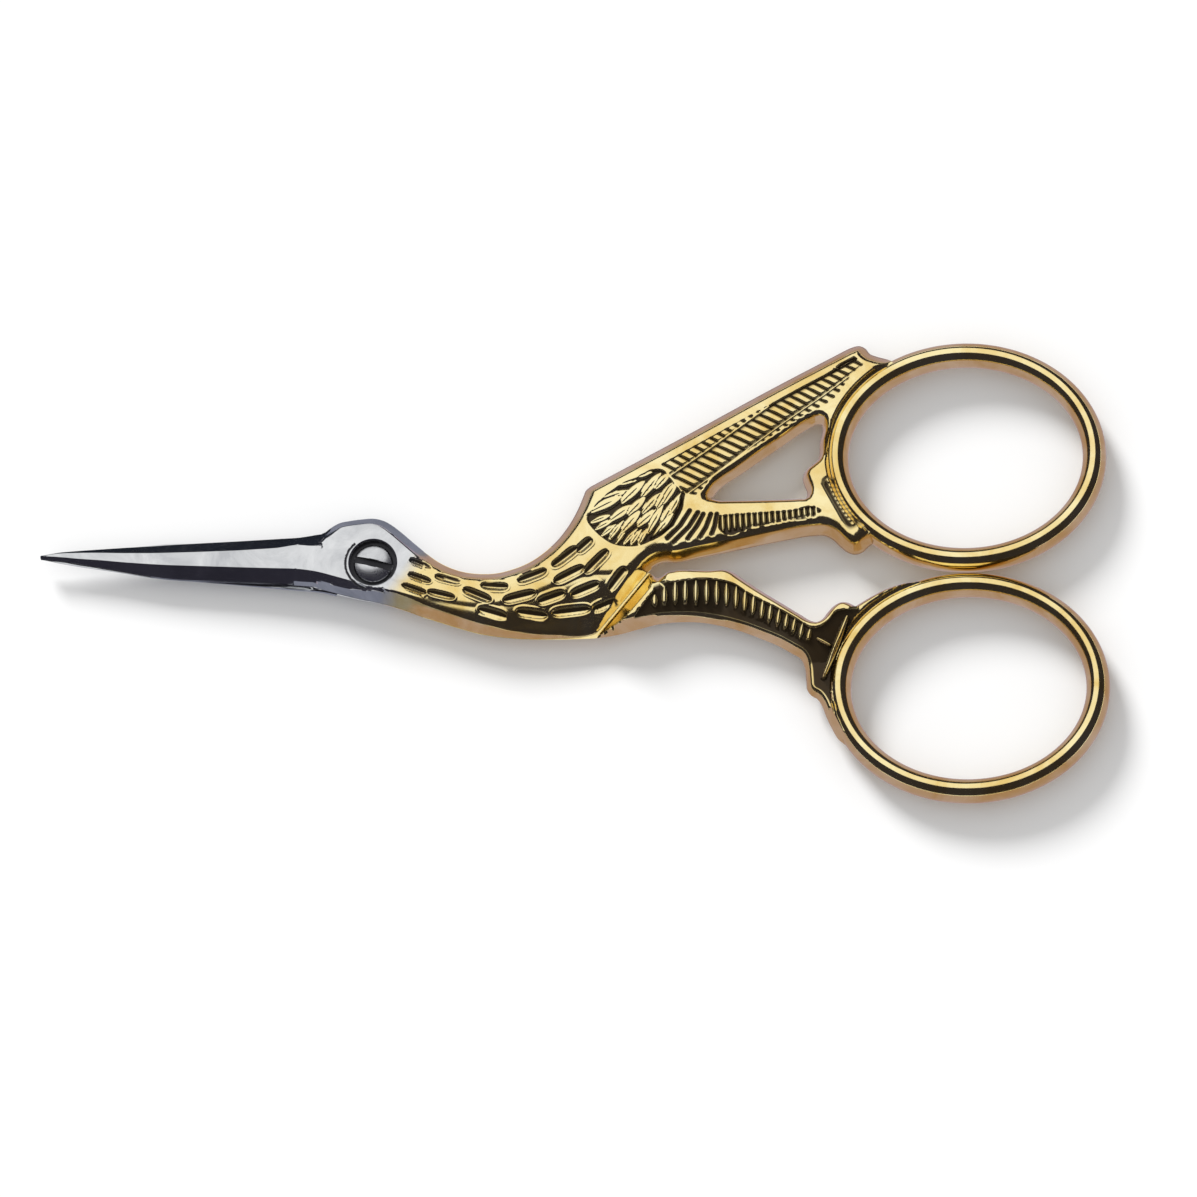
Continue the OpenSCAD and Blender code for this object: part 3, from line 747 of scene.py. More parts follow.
back_boss_top = [(-4.9, 1.6), (-3.4, 2.2), (-2.2, 3), (0, 3.6), (1.2, 3.3), (2.1, 2.6), (PLATE_X, 0.62)]
back_boss_low = [
    (PLATE_X, -4.33), (3.1, -3.9), (2.2, -3.59), (0.5, -3.13), (-1.1, -2.82), (-2.2, -2.58), (-3.4, -2.28),
    (-4.3, -2.1), (-5.02, -2)]
back_ring_side = under_ring(BACK_RING, 112, 209)
back_ways = [stretch(s) for s in (back_neck_top, back_leg_top, back_collar_top)]
back_low_way = stretch(back_low_edge)
back_loop = loop_of([*back_ways, joined(back_ways[-1], back_ring_side), back_ring_side,
                     joined(back_ring_side, back_low_way), back_low_way, joined(back_low_way, back_ways[0])])
print("back half's edge:", len(back_loop), "points")
back_boss_ways = [stretch(back_boss_top), stretch(back_boss_low)]
back_walls = [back_ways[0], back_low_way, *back_boss_ways]

# %% Height of the back half
STEP_A, STEP_B = np.array([19.3, -5.6]), np.array([23.5, -0.3])
STEP_RUN = 1.2
step_line = resample(np.array([STEP_A - (STEP_B - STEP_A) * 0.12, STEP_B + (STEP_B - STEP_A) * 0.02]), 0.15)
step_left = np.array([STEP_A[1] - STEP_B[1], STEP_B[0] - STEP_A[0]]) / np.linalg.norm(STEP_B - STEP_A)
step_top = step_line - step_left * STEP_RUN
rim_line = stretch([
    (22.1, -4.75), (22.9, -3.55), (23.5, -2.75), (24, -2.2), (24.7, -1.8), (25.6, -1.6), (29.85, -1.58),
    (30.55, -1.8), (31.6, -2.48), (32.9, -3.2), (34.6, -4.1), (36.3, -5.1), (37.2, -5.6), (37.9, -5.5),
    (38.6, -4.85), (39.3, -4.15), (40.1, -4), (41.2, -4.1)])
low_field = np.vstack([
    rim_line,
    [(40.2, -5.6), (39.3, -8), (38.9, -11), (38.9, -12.6), (37.5, -12.6), (36.2, -11.2), (35.9, -8.8),
    (34.5, -8), (31, -6.7), (27.7, -6), (24.3, -6.1), (21.2, -6.6), (22.1, -4.75)]])
LEAN = 0.2
bar_lower = ((40.2, -4.55), (38.2, -10))
bar_branch = ((37.6, -6.5), (38.8, -7.15))


def back_face(p, far):
    """Face of the full-thickness part of the back half: wall, sunk and leaning ground, ribs, and the bar
    beside the ring, and painted shade on the sunk ground between them."""
    z = FULL - wall_drop(p, far, MEET, 0.5)
    below = reach(p, [rim_line])
    inside = np.where(within(p, [low_field[:-1]]), ease(below, 0, 0.12), 0)
    sink = (FIELD + LEAN * np.clip(below, 0, 3)) * inside
    ribs = lower_ribs(p)
    bar = np.maximum(leaf(p, *bar_lower, 0.3, 0.25), leaf(p, *bar_branch, 0.2, 0.3))**0.5
    hollow = inside * (1 - np.maximum(ribs, bar)) * ease(far, 0.55, 0.85)
    z = np.minimum(z, FULL - sink * (1 - np.maximum(ribs * 0.9, bar)))
    return np.minimum(z, ring_cove(p, BACK_RING)), hollow


def back_top(p, far):
    """Upper face of the back half: the low layer, the slanted step, and the full face."""
    face, hollow = back_face(p, far)
    past = -side_of(p, step_line)
    ramp = LOW_CEILING + np.clip(past, 0, 9) * (FULL - MEET) / STEP_RUN
    beside = ease(past, STEP_RUN - 0.2, STEP_RUN + 0.2)
    return np.minimum(ramp, face), hollow * beside


def back_bottom(p, far):
    """Underside of the back half: the leg's face turned over, and the neck with its cuts."""
    face, hollow = back_face(p, far)
    leg = ease(p[:, 0], 21.5, 23.5)
    deep, lip, shade = neck_relief(p)
    neck = lower_of(FULL - wall_drop(p, far, MEET), FULL - crown(p)) - deep + lip * ease(far, 0.6, 1)
    z = np.clip(FULL - (neck + (face - neck) * leg), 0, LOW_CEILING)
    return z, shade * (1 - leg) + hollow * leg


points, faces, hollow = plate([back_loop], back_walls, back_top, back_bottom, lines=[step_line, step_top],
                              steep=back_ways[1:])
piece("back_shank_carved", points, faces, "back_half", ["back_shank"], hollow, sharp=62)

# %% [markdown]
# ## The blades and the boss
# A blade is ground, so its face is a row of flat facets that meet in crisp lines: a pale strip along
# the middle, a bevel up to the cutting edge, and a bevel down to the spine. All of them face upwards,
# so blade and boss are one plate too. Below the middle its height is the lower of boss and bevel.
# Above it the boss ends at a hooked wall, and the facets come out from under that.

# %% Places along a blade
HEEL_X, HEEL_W, HEEL_T, TIP_T = 4.6, 4.2, 1.5, 0.4
CLOSING = math.radians(-1.75)
# One row for each place: share of the length, then shares of the heel's width across it.
SHARE, EDGE, FACET, LINE, SPINE, BACK_EDGE = np.array([
    (-0.2, 0.75, 0.6, -0.515, -0.66, 0.66), (-0.14, 0.7, 0.5, -0.42, -0.58, 0.64),
    (-0.11, 0.7, 0.42, -0.374, -0.54, 0.62), (-0.076, 0.7, 0.37, -0.328, -0.5, 0.59),
    (-0.04, 0.7, 0.345, -0.272, -0.475, 0.545), (0, 0.66, 0.335, -0.21, -0.455, 0.518),
    (0.04, 0.61, 0.32, -0.175, -0.445, 0.505), (0.08, 0.565, 0.345, -0.155, -0.43, 0.495),
    (0.15, 0.53, 0.265, -0.155, -0.41, 0.47), (0.29, 0.457, 0.2, -0.148, -0.39, 0.43),
    (0.43, 0.39, 0.154, -0.138, -0.39, 0.4), (0.54, 0.335, 0.125, -0.13, -0.37, 0.375),
    (0.61, 0.295, 0.11, -0.115, -0.325, 0.34), (0.71, 0.245, 0.1, -0.085, -0.24, 0.26),
    (0.79, 0.2, 0.1, -0.05, -0.176, 0.205), (0.86, 0.16, 0.09, -0.035, -0.12, 0.16),
    (0.93, 0.115, 0.075, 0, -0.06, 0.1), (1, 0.03, 0.012, 0.01, -0.03, 0.03)]).T
BEVEL_AT, FRONT_FALL, BACK_FALL = (-0.2, 0, 0.5, 0.8, 1), (0.44, 0.53, 0.88, 0.75, 0.25), (0.6,) * 5
EDGE_T = 0.12
TAPER_AT, TAPER = (0, 0.08, 0.29, 0.54, 0.61, 0.79, 0.93, 1), (0, 0.06, 0.28, 0.52, 0.6, 0.78, 0.93, 1)


def blade_frame(p):
    """Share of the blade's length at each point, negative in the boss, and the distance across from the
    closing line: the plan turned back by the closing angle."""
    along = p[:, 0] * math.cos(CLOSING) + p[:, 1] * math.sin(CLOSING)
    across = p[:, 1] * math.cos(CLOSING) - p[:, 0] * math.sin(CLOSING)
    return (-along - HEEL_X) / (BLADE_LEN - HEEL_X), across


def blade_line(across, start, end, side=1):
    """Smooth plan line where the distance across is a share of the heel's width, from one share of the
    length to another."""
    share = np.linspace(start, end, 160)
    x = -(HEEL_X + share * (BLADE_LEN - HEEL_X))
    y = side * HEEL_W * np.interp(share, SHARE, across)
    smooth = np.convolve(np.pad(y, 4, mode="edge"), np.ones(9) / 9, "valid")
    turned = np.stack([
        x * math.cos(CLOSING) - smooth * math.sin(CLOSING),
        x * math.sin(CLOSING) + smooth * math.cos(CLOSING)], 1)
    return resample(turned, 0.15)


def thickness(share):
    """Thickness of a blade."""
    return HEEL_T + (TIP_T - HEEL_T) * np.interp(share, TAPER_AT, TAPER)


def facets(p, edge, spine, fall):
    """Height of the ground facets above the inner face, the lowest of strip and bevels, and the lower bevel
    alone. From the strip, at the thickness t, the upper bevel falls evenly to EDGE_T at the cutting edge,
    and the lower one falls by its part of t to the spine."""
    share, v = blade_frame(p)
    e, f, k, s = (HEEL_W * np.interp(share, SHARE, row) for row in (edge, FACET, LINE, spine))
    t = thickness(share)
    upper = t - (t - EDGE_T) * np.clip((v - f) / np.maximum(e - f, 0.02), 0, 9)
    lower = t - t * np.interp(share, BEVEL_AT, fall) * np.clip((k - v) / np.maximum(k - s, 0.02), 0, 9)
    return np.minimum(np.minimum(upper, lower), t), lower


# %% Front blade and boss
SEAT_R, SEAT_DEEP, BORE_R, THREAD_R = 1.98, 0.7, 1.15, 0.9
HEAD_R = 1.66
BOSS_SINK, MARK_HALF, MARK_SUNK = 0.28, 0.09, 0.05
boss_hook = stretch([(-4.75, 1.2), (-4.95, 1.8), (-4.9, 2.4), (-4.6, 2.95)], 0.08)
mill_mark = oval((-0.17, -0.05), (2.15, 2.15), 130, 255, 0.08)


def seat_row(r):
    """Height limit about the screw's seat at a distance from the pivot."""
    at = (0, SEAT_R - 0.01, SEAT_R + 0.01, SEAT_R + 0.1)
    return np.interp(r, at, (FULL - SEAT_DEEP, FULL - SEAT_DEEP, FULL - 0.08, FULL))


def front_blade_top(p, far):
    """Upper face of blade and boss. The boss sinks a little towards the blade, and its wall turns in and
    runs down a hook, where the bevel of the cutting edge comes out of it. The screw's seat is sunk."""
    ground, bevel = facets(p, EDGE, SPINE, FRONT_FALL)
    lower_side = p[:, 1] < 0
    steeper = 1 + 0.38 * ease(-p[:, 0], -2, 1) + 4 * ease(-p[:, 0], 4.2, 6.2)
    boss, hollow = front_top(p, np.where(lower_side, far * steeper, far))
    boss = boss - BOSS_SINK * ease(-p[:, 0], 2.2, 6.4)
    low = TOP_FLOOR + bevel + (FULL - TOP_FLOOR - HEEL_T) * ease(p[:, 0], -6.4, -2)
    boss = np.where(p[:, 0] < 1, np.minimum(boss, low), boss)
    off = side_of(p, boss_hook)
    high = ease(p[:, 1], 1.1, 2)
    hooked = boss - wall_drop(p, -off * STEEP, TOP_FLOOR) * high * ((p[:, 0] < -1) & (-off < 1.5))
    boss_high = np.where(off < 0, hooked, boss - 3 * np.maximum(high, ease(-p[:, 0], 5.2, 6.2)))
    upper = np.where(p[:, 0] > -2.5, hooked, np.maximum(boss_high, TOP_FLOOR + ground))
    z = np.where(lower_side, boss, upper)
    r = np.linalg.norm(p, axis=1)
    z = np.minimum(z, seat_row(r))
    # The seat and the milled ring round it get painted shade in their hollow share.
    ring = groove(p, mill_mark, MARK_HALF) * (r > SEAT_R + 0.02)
    hollow = np.maximum(np.maximum(hollow, (r < SEAT_R) * 1.0), ring)
    return np.maximum(z - MARK_SUNK * ring, TOP_FLOOR + 0.02), hollow


def level(height):
    """A flat face at one height."""
    return lambda p, far: (np.full(len(p), height), np.zeros(len(p)))


def circle(r, step=0.15):
    """Closed circle about the pivot."""
    return oval((0, 0), (r, r), 0, 360, step)


seat_rows = [circle(SEAT_R + d, 0.07) for d in (-0.01, 0.01, 0.1)]
edge_way, spine_way = blade_line(EDGE, 1, 0), blade_line(SPINE, 0.02, 1)
front_blade_loop = loop_of([
    boss_way[0], joined(boss_way[0], boss_way[1]), boss_way[1], joined(boss_way[1], spine_way), spine_way,
    joined(spine_way, edge_way), edge_way, joined(edge_way, boss_way[0])])
creases = [blade_line(FACET, 0.03, 0.985), blade_line(LINE, -0.19, 0.985), boss_hook[:-2]]
points, faces, hollow = plate(
    [front_blade_loop, circle(BORE_R)[:-1]], [*front_walls, spine_way[:12]], front_blade_top,
    level(TOP_FLOOR), lines=[*seat_rows, *creases], fine=0.08, steps=CRISP_ROWS)
piece("front_blade_ground", points, faces, "front_half", ["front_blade"], hollow, sharp=14)


# %% Back blade and boss
def back_blade_top(p, far):
    """Inner face of the back blade, chamfered beyond the spine line where it shows under the front blade."""
    share, v = blade_frame(p)
    past = -HEEL_W * np.interp(share, SHARE, SPINE) + v
    chamfer = LOW_CEILING - 1.9 * np.clip(0.02 - past, 0, 0.6) * (share > -0.06)
    return np.where(share < 0.6, chamfer, LOW_CEILING), np.zeros(len(p))


def back_blade_low(p, far):
    """Underside: the blank turned half round the closing line, and the boss with the neck's first cuts."""
    share, v = blade_frame(p)
    c, s = math.cos(2 * CLOSING), math.sin(2 * CLOSING)
    turned = np.stack([p[:, 0] * c + p[:, 1] * s, p[:, 0] * s - p[:, 1] * c], 1)
    ground, _ = facets(turned, BACK_EDGE, SPINE, BACK_FALL)
    deep, _, shade = neck_relief(p)
    boss = wall_drop(p, far, MEET) + deep + BOSS_SINK * ease(-p[:, 0], 2.2, 6.4)
    z = np.where(share > 0.02, LOW_CEILING - ground, boss)
    return np.minimum(z, LOW_CEILING - 0.1), shade


back_edge_way, back_spine_way = blade_line(BACK_EDGE, 0.02, 1, -1), blade_line(SPINE, 1, 0.02, -1)
back_loop_of_blade = loop_of([
    back_boss_ways[0], joined(back_boss_ways[0], back_boss_ways[1]), back_boss_ways[1],
    joined(back_boss_ways[1], back_edge_way), back_edge_way, joined(back_edge_way, back_spine_way),
    back_spine_way, joined(back_spine_way, back_boss_ways[0])])
points, faces, hollow = plate(
    [back_loop_of_blade, circle(THREAD_R)[:-1]], back_walls, back_blade_top, back_blade_low,
    lines=[blade_line(SPINE, 0.04, 0.6)],
    low_lines=[blade_line(FACET, 0.03, 0.985, -1), blade_line(LINE, 0.03, 0.985, -1)], fine=0.12,
    coarse=0.12, steps=CRISP_ROWS)
piece("back_blade_ground", points, faces, "back_half", ["back_blade"], hollow, sharp=14)

# %% [markdown]
# ## The finger rings
# A ring is a bar of oval section bent round an oval hole. The section stands upright, so seen from
# above each ring carries a narrow bright line and a dark one. It is a grid of the angle round the
# ring and the angle round the bar.

# %% Bars of the rings
def ring_bar(centre, steps=360, sides=48):
    """Centre line: centre + (a cos u, b sin u). From it the section goes out by w cos v along the oval's own
    normal, and up by h sin v."""
    half = RING_OUT - BAR_W / 2
    u = np.linspace(0, 2 * np.pi, steps, endpoint=False)[:, None]
    v = np.linspace(0, 2 * np.pi, sides, endpoint=False)[None, :]
    nx, ny = np.cos(u) / half[0], np.sin(u) / half[1]
    size = np.hypot(nx, ny)
    out = BAR_W / 2 * np.cos(v)
    x = centre[0] + half[0] * np.cos(u) + nx / size * out
    y = centre[1] + half[1] * np.sin(u) + ny / size * out
    grid = np.stack([x, y, MEET + BAR_H / 2 * np.sin(v) + 0 * u], -1)
    i, j = np.meshgrid(np.arange(steps), np.arange(sides), indexing="ij")
    a, b = i * sides + j, i * sides + (j + 1) % sides
    c, d = (i + 1) % steps * sides + j, (i + 1) % steps * sides + (j + 1) % sides
    faces = np.stack([a, c, d, b], -1).reshape(-1, 4)
    return grid.reshape(-1, 3), faces


for node, body, centre in (("front_bow", "front_half", FRONT_RING), ("back_bow", "back_half", BACK_RING)):
    points, faces = ring_bar(centre)
    piece(node + "_polished", points, faces, body, [node])

# %% [markdown]
# ## The screw
# The head is a low dome with a driver slot, sunk in its seat. Below it the plain journal carries
# the front half, and the threaded end sits in the back half, flush with the underside. Its thread
# is shallow rings, since it is hidden.

# %% Head, journal and thread
HEAD_LOW, HEAD_TOP, DOME = FULL - SEAT_DEEP + 0.02, 3.42, 0.4
SLOT_HALF, SLOT_DEEP = 0.3, 0.5
SLOT_TURN = math.radians(-13)
slot_e = np.array([math.cos(SLOT_TURN), math.sin(SLOT_TURN)])
slot_n = np.array([-slot_e[1], slot_e[0]])


def head_top(p, far):
    """Dome that falls with the square of the radius, its rim rounded, and the slot cut across it, whose floor
    gets painted shade.
    """
    r = np.linalg.norm(p, axis=1) / HEAD_R
    z = HEAD_TOP - DOME * r**2 - 0.12 * ease(r, 0.94, 1)
    v = np.abs(p @ slot_n)
    floor = HEAD_TOP - SLOT_DEEP
    cut_z = np.interp(
        v, (0, SLOT_HALF - 0.02, SLOT_HALF, SLOT_HALF + 0.05),
        (floor, floor, HEAD_TOP - 0.05, HEAD_TOP + 0.1))
    return np.minimum(z, cut_z), (z > cut_z + 0.02) * 1.0


def skin(sections):
    """Closed skin through sections with equal numbers of points: two triangles for each cell of the grid, and
    a fan on each end."""
    m, n = sections.shape[:2]
    i, j = np.meshgrid(np.arange(m - 1), np.arange(n), indexing="ij")
    a, b = i * n + j, i * n + (j + 1) % n
    c, d = a + n, b + n
    sides = np.vstack([np.stack([a, b, d], -1).reshape(-1, 3), np.stack([a, d, c], -1).reshape(-1, 3)])
    points = np.vstack([sections.reshape(-1, 3), sections[0].mean(0), sections[-1].mean(0)])
    k = np.arange(n)
    first = np.stack([(k + 1) % n, k, np.full(n, m * n)], 1)
    last = np.stack([k, (k + 1) % n, np.full(n, m * n + 1)], 1) + np.array([(m - 1) * n, (m - 1) * n, 0])
    return points, np.vstack([sides, first, last])


def outward(points, faces):
    """The faces, turned over if the volume that they enclose comes out below zero."""
    a, b, c = points[faces[:, 0]], points[faces[:, 1]], points[faces[:, 2]]
    volume = (a * np.cross(b, c)).sum() / 6
    return faces if volume > 0 else faces[:, ::-1]


def together(*shells):
    """Several closed shells as one list of points and one of faces."""
    at = np.cumsum([0] + [len(s[0]) for s in shells])
    return np.vstack([s[0] for s in shells]), np.vstack([s[1] + k for s, k in zip(shells, at)])


slot_rows = (-SLOT_HALF - 0.03, -SLOT_HALF, 0.02 - SLOT_HALF, SLOT_HALF - 0.02, SLOT_HALF, SLOT_HALF + 0.03)
slot_way = np.linspace(-1.6, 1.6, 60)[:, None]
slot_lines = [slot_e * slot_way + slot_n * v for v in slot_rows]
points, faces, hollow = plate(
    [circle(HEAD_R, 0.05)[:-1]], [], head_top, level(HEAD_LOW), lines=slot_lines, fine=0.05, coarse=0.2)

THREAD_CORE, THREAD_DEEP, THREAD_RINGS = 0.82, 0.05, 9
turns = np.linspace(0, 1, 60)
thread_r = THREAD_CORE + THREAD_DEEP * np.abs(np.sin(turns * np.pi * THREAD_RINGS))
profile = np.vstack([
    [(0.3, 0), (0.78, 0)], np.stack([thread_r, 0.08 + turns * 1.6], 1),
    [(1.1, 1.76), (1.1, 2.81), (0.3, 2.84)]])
angle = np.linspace(0, 2 * np.pi, 72, endpoint=False)
rings = np.stack([
    profile[:, :1] * np.cos(angle), profile[:, :1] * np.sin(angle), profile[:, 1:] + 0 * angle], -1)
shank_points, shank_faces = skin(rings)
head_count = len(points)
points, faces = together((points, faces), (shank_points, outward(shank_points, shank_faces)))
piece("pivot_screw_slotted", points, faces, "back_half", ["pivot_screw"],
      np.concatenate([hollow, np.zeros(len(points) - head_count)]), sharp=30)

# %% [markdown]
# ## Finishes
# Bright gold over steel, and bare ground steel. Both are metals, so nearly all of their look is
# what they mirror. What makes them real is small: grinding lines and faint smears that change the
# gloss. The hollows also get painted shade. The lines and smears are node groups, shared by all the metals.


# %% Node helpers
def add(tree, kind, values=(), **settings):
    """Node of a kind, with values for its inputs by name or place, and its own settings."""
    one = tree.nodes.new(kind)
    for key, value in settings.items():
        setattr(one, key, value)
    for key, value in values:
        one.inputs[key].default_value = value
    return one


def wire(tree, *rows):
    """Links, each row naming a node and its output, then a node and its input."""
    for source, out, target, into in rows:
        tree.links.new(source.outputs[out], target.inputs[into])


def group(name, inputs, outputs):
    """Empty node group with float or vector inputs and float outputs."""
    tree = bpy.data.node_groups.new(name, "ShaderNodeTree")
    for label, value in inputs:
        kind = "NodeSocketVector" if value is None else "NodeSocketFloat"
        socket = tree.interface.new_socket(name=label, in_out="INPUT", socket_type=kind)
        if value is not None:
            socket.default_value = value
    for label in outputs:
        tree.interface.new_socket(name=label, in_out="OUTPUT", socket_type="NodeSocketFloat")
    print(f"node group {name}")
    return tree, add(tree, "NodeGroupInput"), add(tree, "NodeGroupOutput")


# %% Grinding lines
grinding, g_in, g_out = group(
    "grinding_lines", [("Vector", None), ("Lines", 900), ("Length", 0.04)], ["Line"])
stretched = add(grinding, "ShaderNodeVectorMath", operation="MULTIPLY")
squeeze = add(grinding, "ShaderNodeCombineXYZ", [("Y", 1), ("Z", 1)])
noise = add(grinding, "ShaderNodeTexNoise", [("Detail", 3), ("Roughness", 0.6)])
wire(grinding, (g_in, "Length", squeeze, "X"), (g_in, "Vector", stretched, 0), (squeeze, 0, stretched, 1),
     (stretched, 0, noise, "Vector"), (g_in, "Lines", noise, "Scale"), (noise, "Fac", g_out, "Line"))

# %% Smears and fine scratches
smears, s_in, s_out = group("handling_smears", [("Vector", None), ("Size", 220)], ["Smear", "Scratch"])
cloud = add(smears, "ShaderNodeTexNoise", [("Detail", 4), ("Roughness", 0.65), ("Distortion", 0.6)])
cells = add(smears, "ShaderNodeTexVoronoi", [("Scale", 700), ("Randomness", 1)], feature="DISTANCE_TO_EDGE")
thin = add(smears, "ShaderNodeMapRange", [("From Min", 0), ("From Max", 0.02), ("To Min", 1), ("To Max", 0)])
wire(
    smears, (s_in, "Vector", cloud, "Vector"), (s_in, "Size", cloud, "Scale"),
    (cloud, "Fac", s_out, "Smear"), (s_in, "Vector", cells, "Vector"), (cells, "Distance", thin, "Value"),
    (thin, "Result", s_out, "Scratch"))

# %% Where the plating ends
# The gold runs out on the neck behind the screw, along a slanted line with a soft, uneven edge.
plating, p_in, p_out = group("plating_edge", [("Vector", None)], ["Gold"])
apart = add(plating, "ShaderNodeSeparateXYZ")
uneven = add(plating, "ShaderNodeTexNoise", [("Scale", 900), ("Detail", 2)])
lean = add(plating, "ShaderNodeMath", [(1, -0.75)], operation="MULTIPLY")
sum_x = add(plating, "ShaderNodeMath", operation="ADD")
wander = add(plating, "ShaderNodeMath", [(1, 0.0008)], operation="MULTIPLY")
sum_w = add(plating, "ShaderNodeMath", operation="ADD")
edge = add(
    plating, "ShaderNodeMapRange", [("From Min", 0.0029), ("From Max", 0.0053)],
    interpolation_type="SMOOTHSTEP")
wire(plating, (p_in, "Vector", apart, 0), (p_in, "Vector", uneven, "Vector"), (apart, "Y", lean, 0),
     (apart, "X", sum_x, 0), (lean, 0, sum_x, 1), (uneven, "Fac", wander, 0), (sum_x, 0, sum_w, 0),
     (wander, 0, sum_w, 1), (sum_w, 0, edge, "Value"), (edge, "Result", p_out, "Gold"))

# %% Metals
# The third colour of each metal is painted shade for the hollows.
GOLD, GOLD_WARM, GOLD_PAINTED_SHADE = (0.97, 0.84, 0.46, 1), (0.83, 0.6, 0.21, 1), (0.022, 0.013, 0.008, 1)
STEEL, STEEL_DIM, STEEL_PAINTED_SHADE = (0.74, 0.75, 0.76, 1), (0.52, 0.53, 0.55, 1), (0.02, 0.02, 0.024, 1)


def tint(tree, smear, bright, dull, shade_colour):
    """Colour that drifts between two tones with the smears and turns to a painted shade colour in the
    hollows.
    """
    tone = add(tree, "ShaderNodeMix", [(6, bright), (7, dull)], data_type="RGBA")
    drift = add(tree, "ShaderNodeMapRange", [("From Min", 0.36), ("From Max", 0.66)])
    deep = add(tree, "ShaderNodeAttribute", attribute_name="hollow")
    dark = add(tree, "ShaderNodeMapRange", [("From Min", 0.1), ("From Max", 0.5), ("To Max", 0.98)])
    mixed = add(tree, "ShaderNodeMix", [(7, shade_colour)], data_type="RGBA")
    wire(tree, (smear, "Smear", drift, "Value"), (drift, "Result", tone, 0), (deep, "Fac", dark, "Value"),
         (dark, "Result", mixed, 0), (tone, 2, mixed, 6))
    return mixed.outputs[2]


def metal(name, gloss, lines, plated):
    """Metal with smears in its gloss, grinding lines in its bump, and painted shade in its hollows, where it
    turns dark and less metallic. gloss is the roughness at its smoothest and dullest, and lines are the
    scale, the stretch and the height of the grinding lines. plated is 0 for bare steel, 1 for gold all
    over, and None where the plating edge decides."""
    material = bpy.data.materials.new(name)
    material.use_nodes = True
    tree = material.node_tree
    tree.nodes.clear()
    (matt_from, matt_to), (count, long, height) = gloss, lines
    out = add(tree, "ShaderNodeOutputMaterial")
    shader = add(tree, "ShaderNodeBsdfPrincipled", [("Specular IOR Level", 0.15)])
    where = add(tree, "ShaderNodeTexCoord")
    smear = add(tree, "ShaderNodeGroup", node_tree=smears)
    line = add(tree, "ShaderNodeGroup", [("Lines", count), ("Length", long)], node_tree=grinding)
    dull = [("From Min", 0.3), ("From Max", 0.75), ("To Min", matt_from), ("To Max", matt_to)]
    rough = add(tree, "ShaderNodeMapRange", dull)
    relief = add(tree, "ShaderNodeMath", [(1, height)], operation="MULTIPLY")
    deep = add(tree, "ShaderNodeAttribute", attribute_name="hollow")
    # Painted shade: in the hollows the metal turns less metallic, so its near-black colour shows.
    shade_range = [("From Min", 0.15), ("From Max", 0.6), ("To Min", 1), ("To Max", 0.4)]
    shade_metallic = add(tree, "ShaderNodeMapRange", shade_range)
    sway = add(tree, "ShaderNodeTexNoise", [("Scale", 420), ("Detail", 1)])
    wave = add(tree, "ShaderNodeMath", [(1, 4)], operation="MULTIPLY")
    total = add(tree, "ShaderNodeMath", operation="ADD")
    bump = add(tree, "ShaderNodeBump", [("Strength", 1), ("Distance", 0.000008)])
    wire(
        tree, (shader, 0, out, "Surface"), (where, "Object", smear, "Vector"),
        (where, "Object", line, "Vector"), (smear, "Smear", rough, "Value"),
        (rough, "Result", shader, "Roughness"), (line, "Line", relief, 0), (deep, "Fac", shade_metallic, "Value"),
        (shade_metallic, "Result", shader, "Metallic"), (where, "Object", sway, "Vector"), (sway, "Fac", wave, 0),
        (relief, 0, total, 0), (wave, 0, total, 1), (total, 0, bump, "Height"),
        (bump, "Normal", shader, "Normal"))
    if plated == 1:
        colour = tint(tree, smear, GOLD, GOLD_WARM, GOLD_PAINTED_SHADE)
    elif plated == 0:
        colour = tint(tree, smear, STEEL, STEEL_DIM, STEEL_PAINTED_SHADE)
    else:
        edge = add(tree, "ShaderNodeGroup", node_tree=plating)
        both = add(tree, "ShaderNodeMix", data_type="RGBA")
        fade = add(tree, "ShaderNodeMapRange", [("To Min", height), ("To Max", height * 0.3)])
        wire(tree, (where, "Object", edge, "Vector"), (edge, "Gold", both, 0), (edge, "Gold", fade, "Value"),
             (fade, "Result", relief, 1))
        tree.links.new(tint(tree, smear, STEEL, STEEL_DIM, STEEL_PAINTED_SHADE), both.inputs[6])
        tree.links.new(tint(tree, smear, GOLD, GOLD_WARM, GOLD_PAINTED_SHADE), both.inputs[7])
        colour = both.outputs[2]
    tree.links.new(colour, shader.inputs["Base Color"])
    print(f"material {name}")
    return material


PLATED_LOOK = ((0.1, 0.2), (1900, 0.05, 0.5), None)
gold_plating = metal("gold_plating", *PLATED_LOOK)
blade_steel = metal("blade_steel", *PLATED_LOOK)
ring_gold = metal("ring_gold", (0.07, 0.16), (1200, 1, 0.1), 1)
screw_steel = metal("screw_steel", (0.2, 0.34), (1800, 0.2, 0.6), 0)
for name, finish in (("front_shank_carved", gold_plating), ("back_shank_carved", gold_plating),
                     ("front_bow_polished", ring_gold), ("back_bow_polished", ring_gold),
                     ("front_blade_ground", blade_steel), ("back_blade_ground", blade_steel),
                     ("pivot_screw_slotted", screw_steel)):
    bpy.data.objects[name].data.materials.append(finish)

# %% [markdown]
# ## The table and the light
# Metal needs something to mirror. As in a studio, the tool lies on pale paper under a dark tent with
# one wide opening overhead, behind the rings' side. The opening gives the bright faces and the tent
# gives the dark edges. The tent shows only in mirrors, so the paper is lit evenly. A broad low lamp
# from the upper left throws the soft shadow.


# %% Paper
def stage_mesh(name, points, faces):
    """Stage object from points in metres."""
    mesh = bpy.data.meshes.new(name)
    mesh.from_pydata(points, [], faces)
    shape = bpy.data.objects.new(name, mesh)
    bpy.context.scene.collection.objects.link(shape)
    print(f"stage {name}")
    return shape


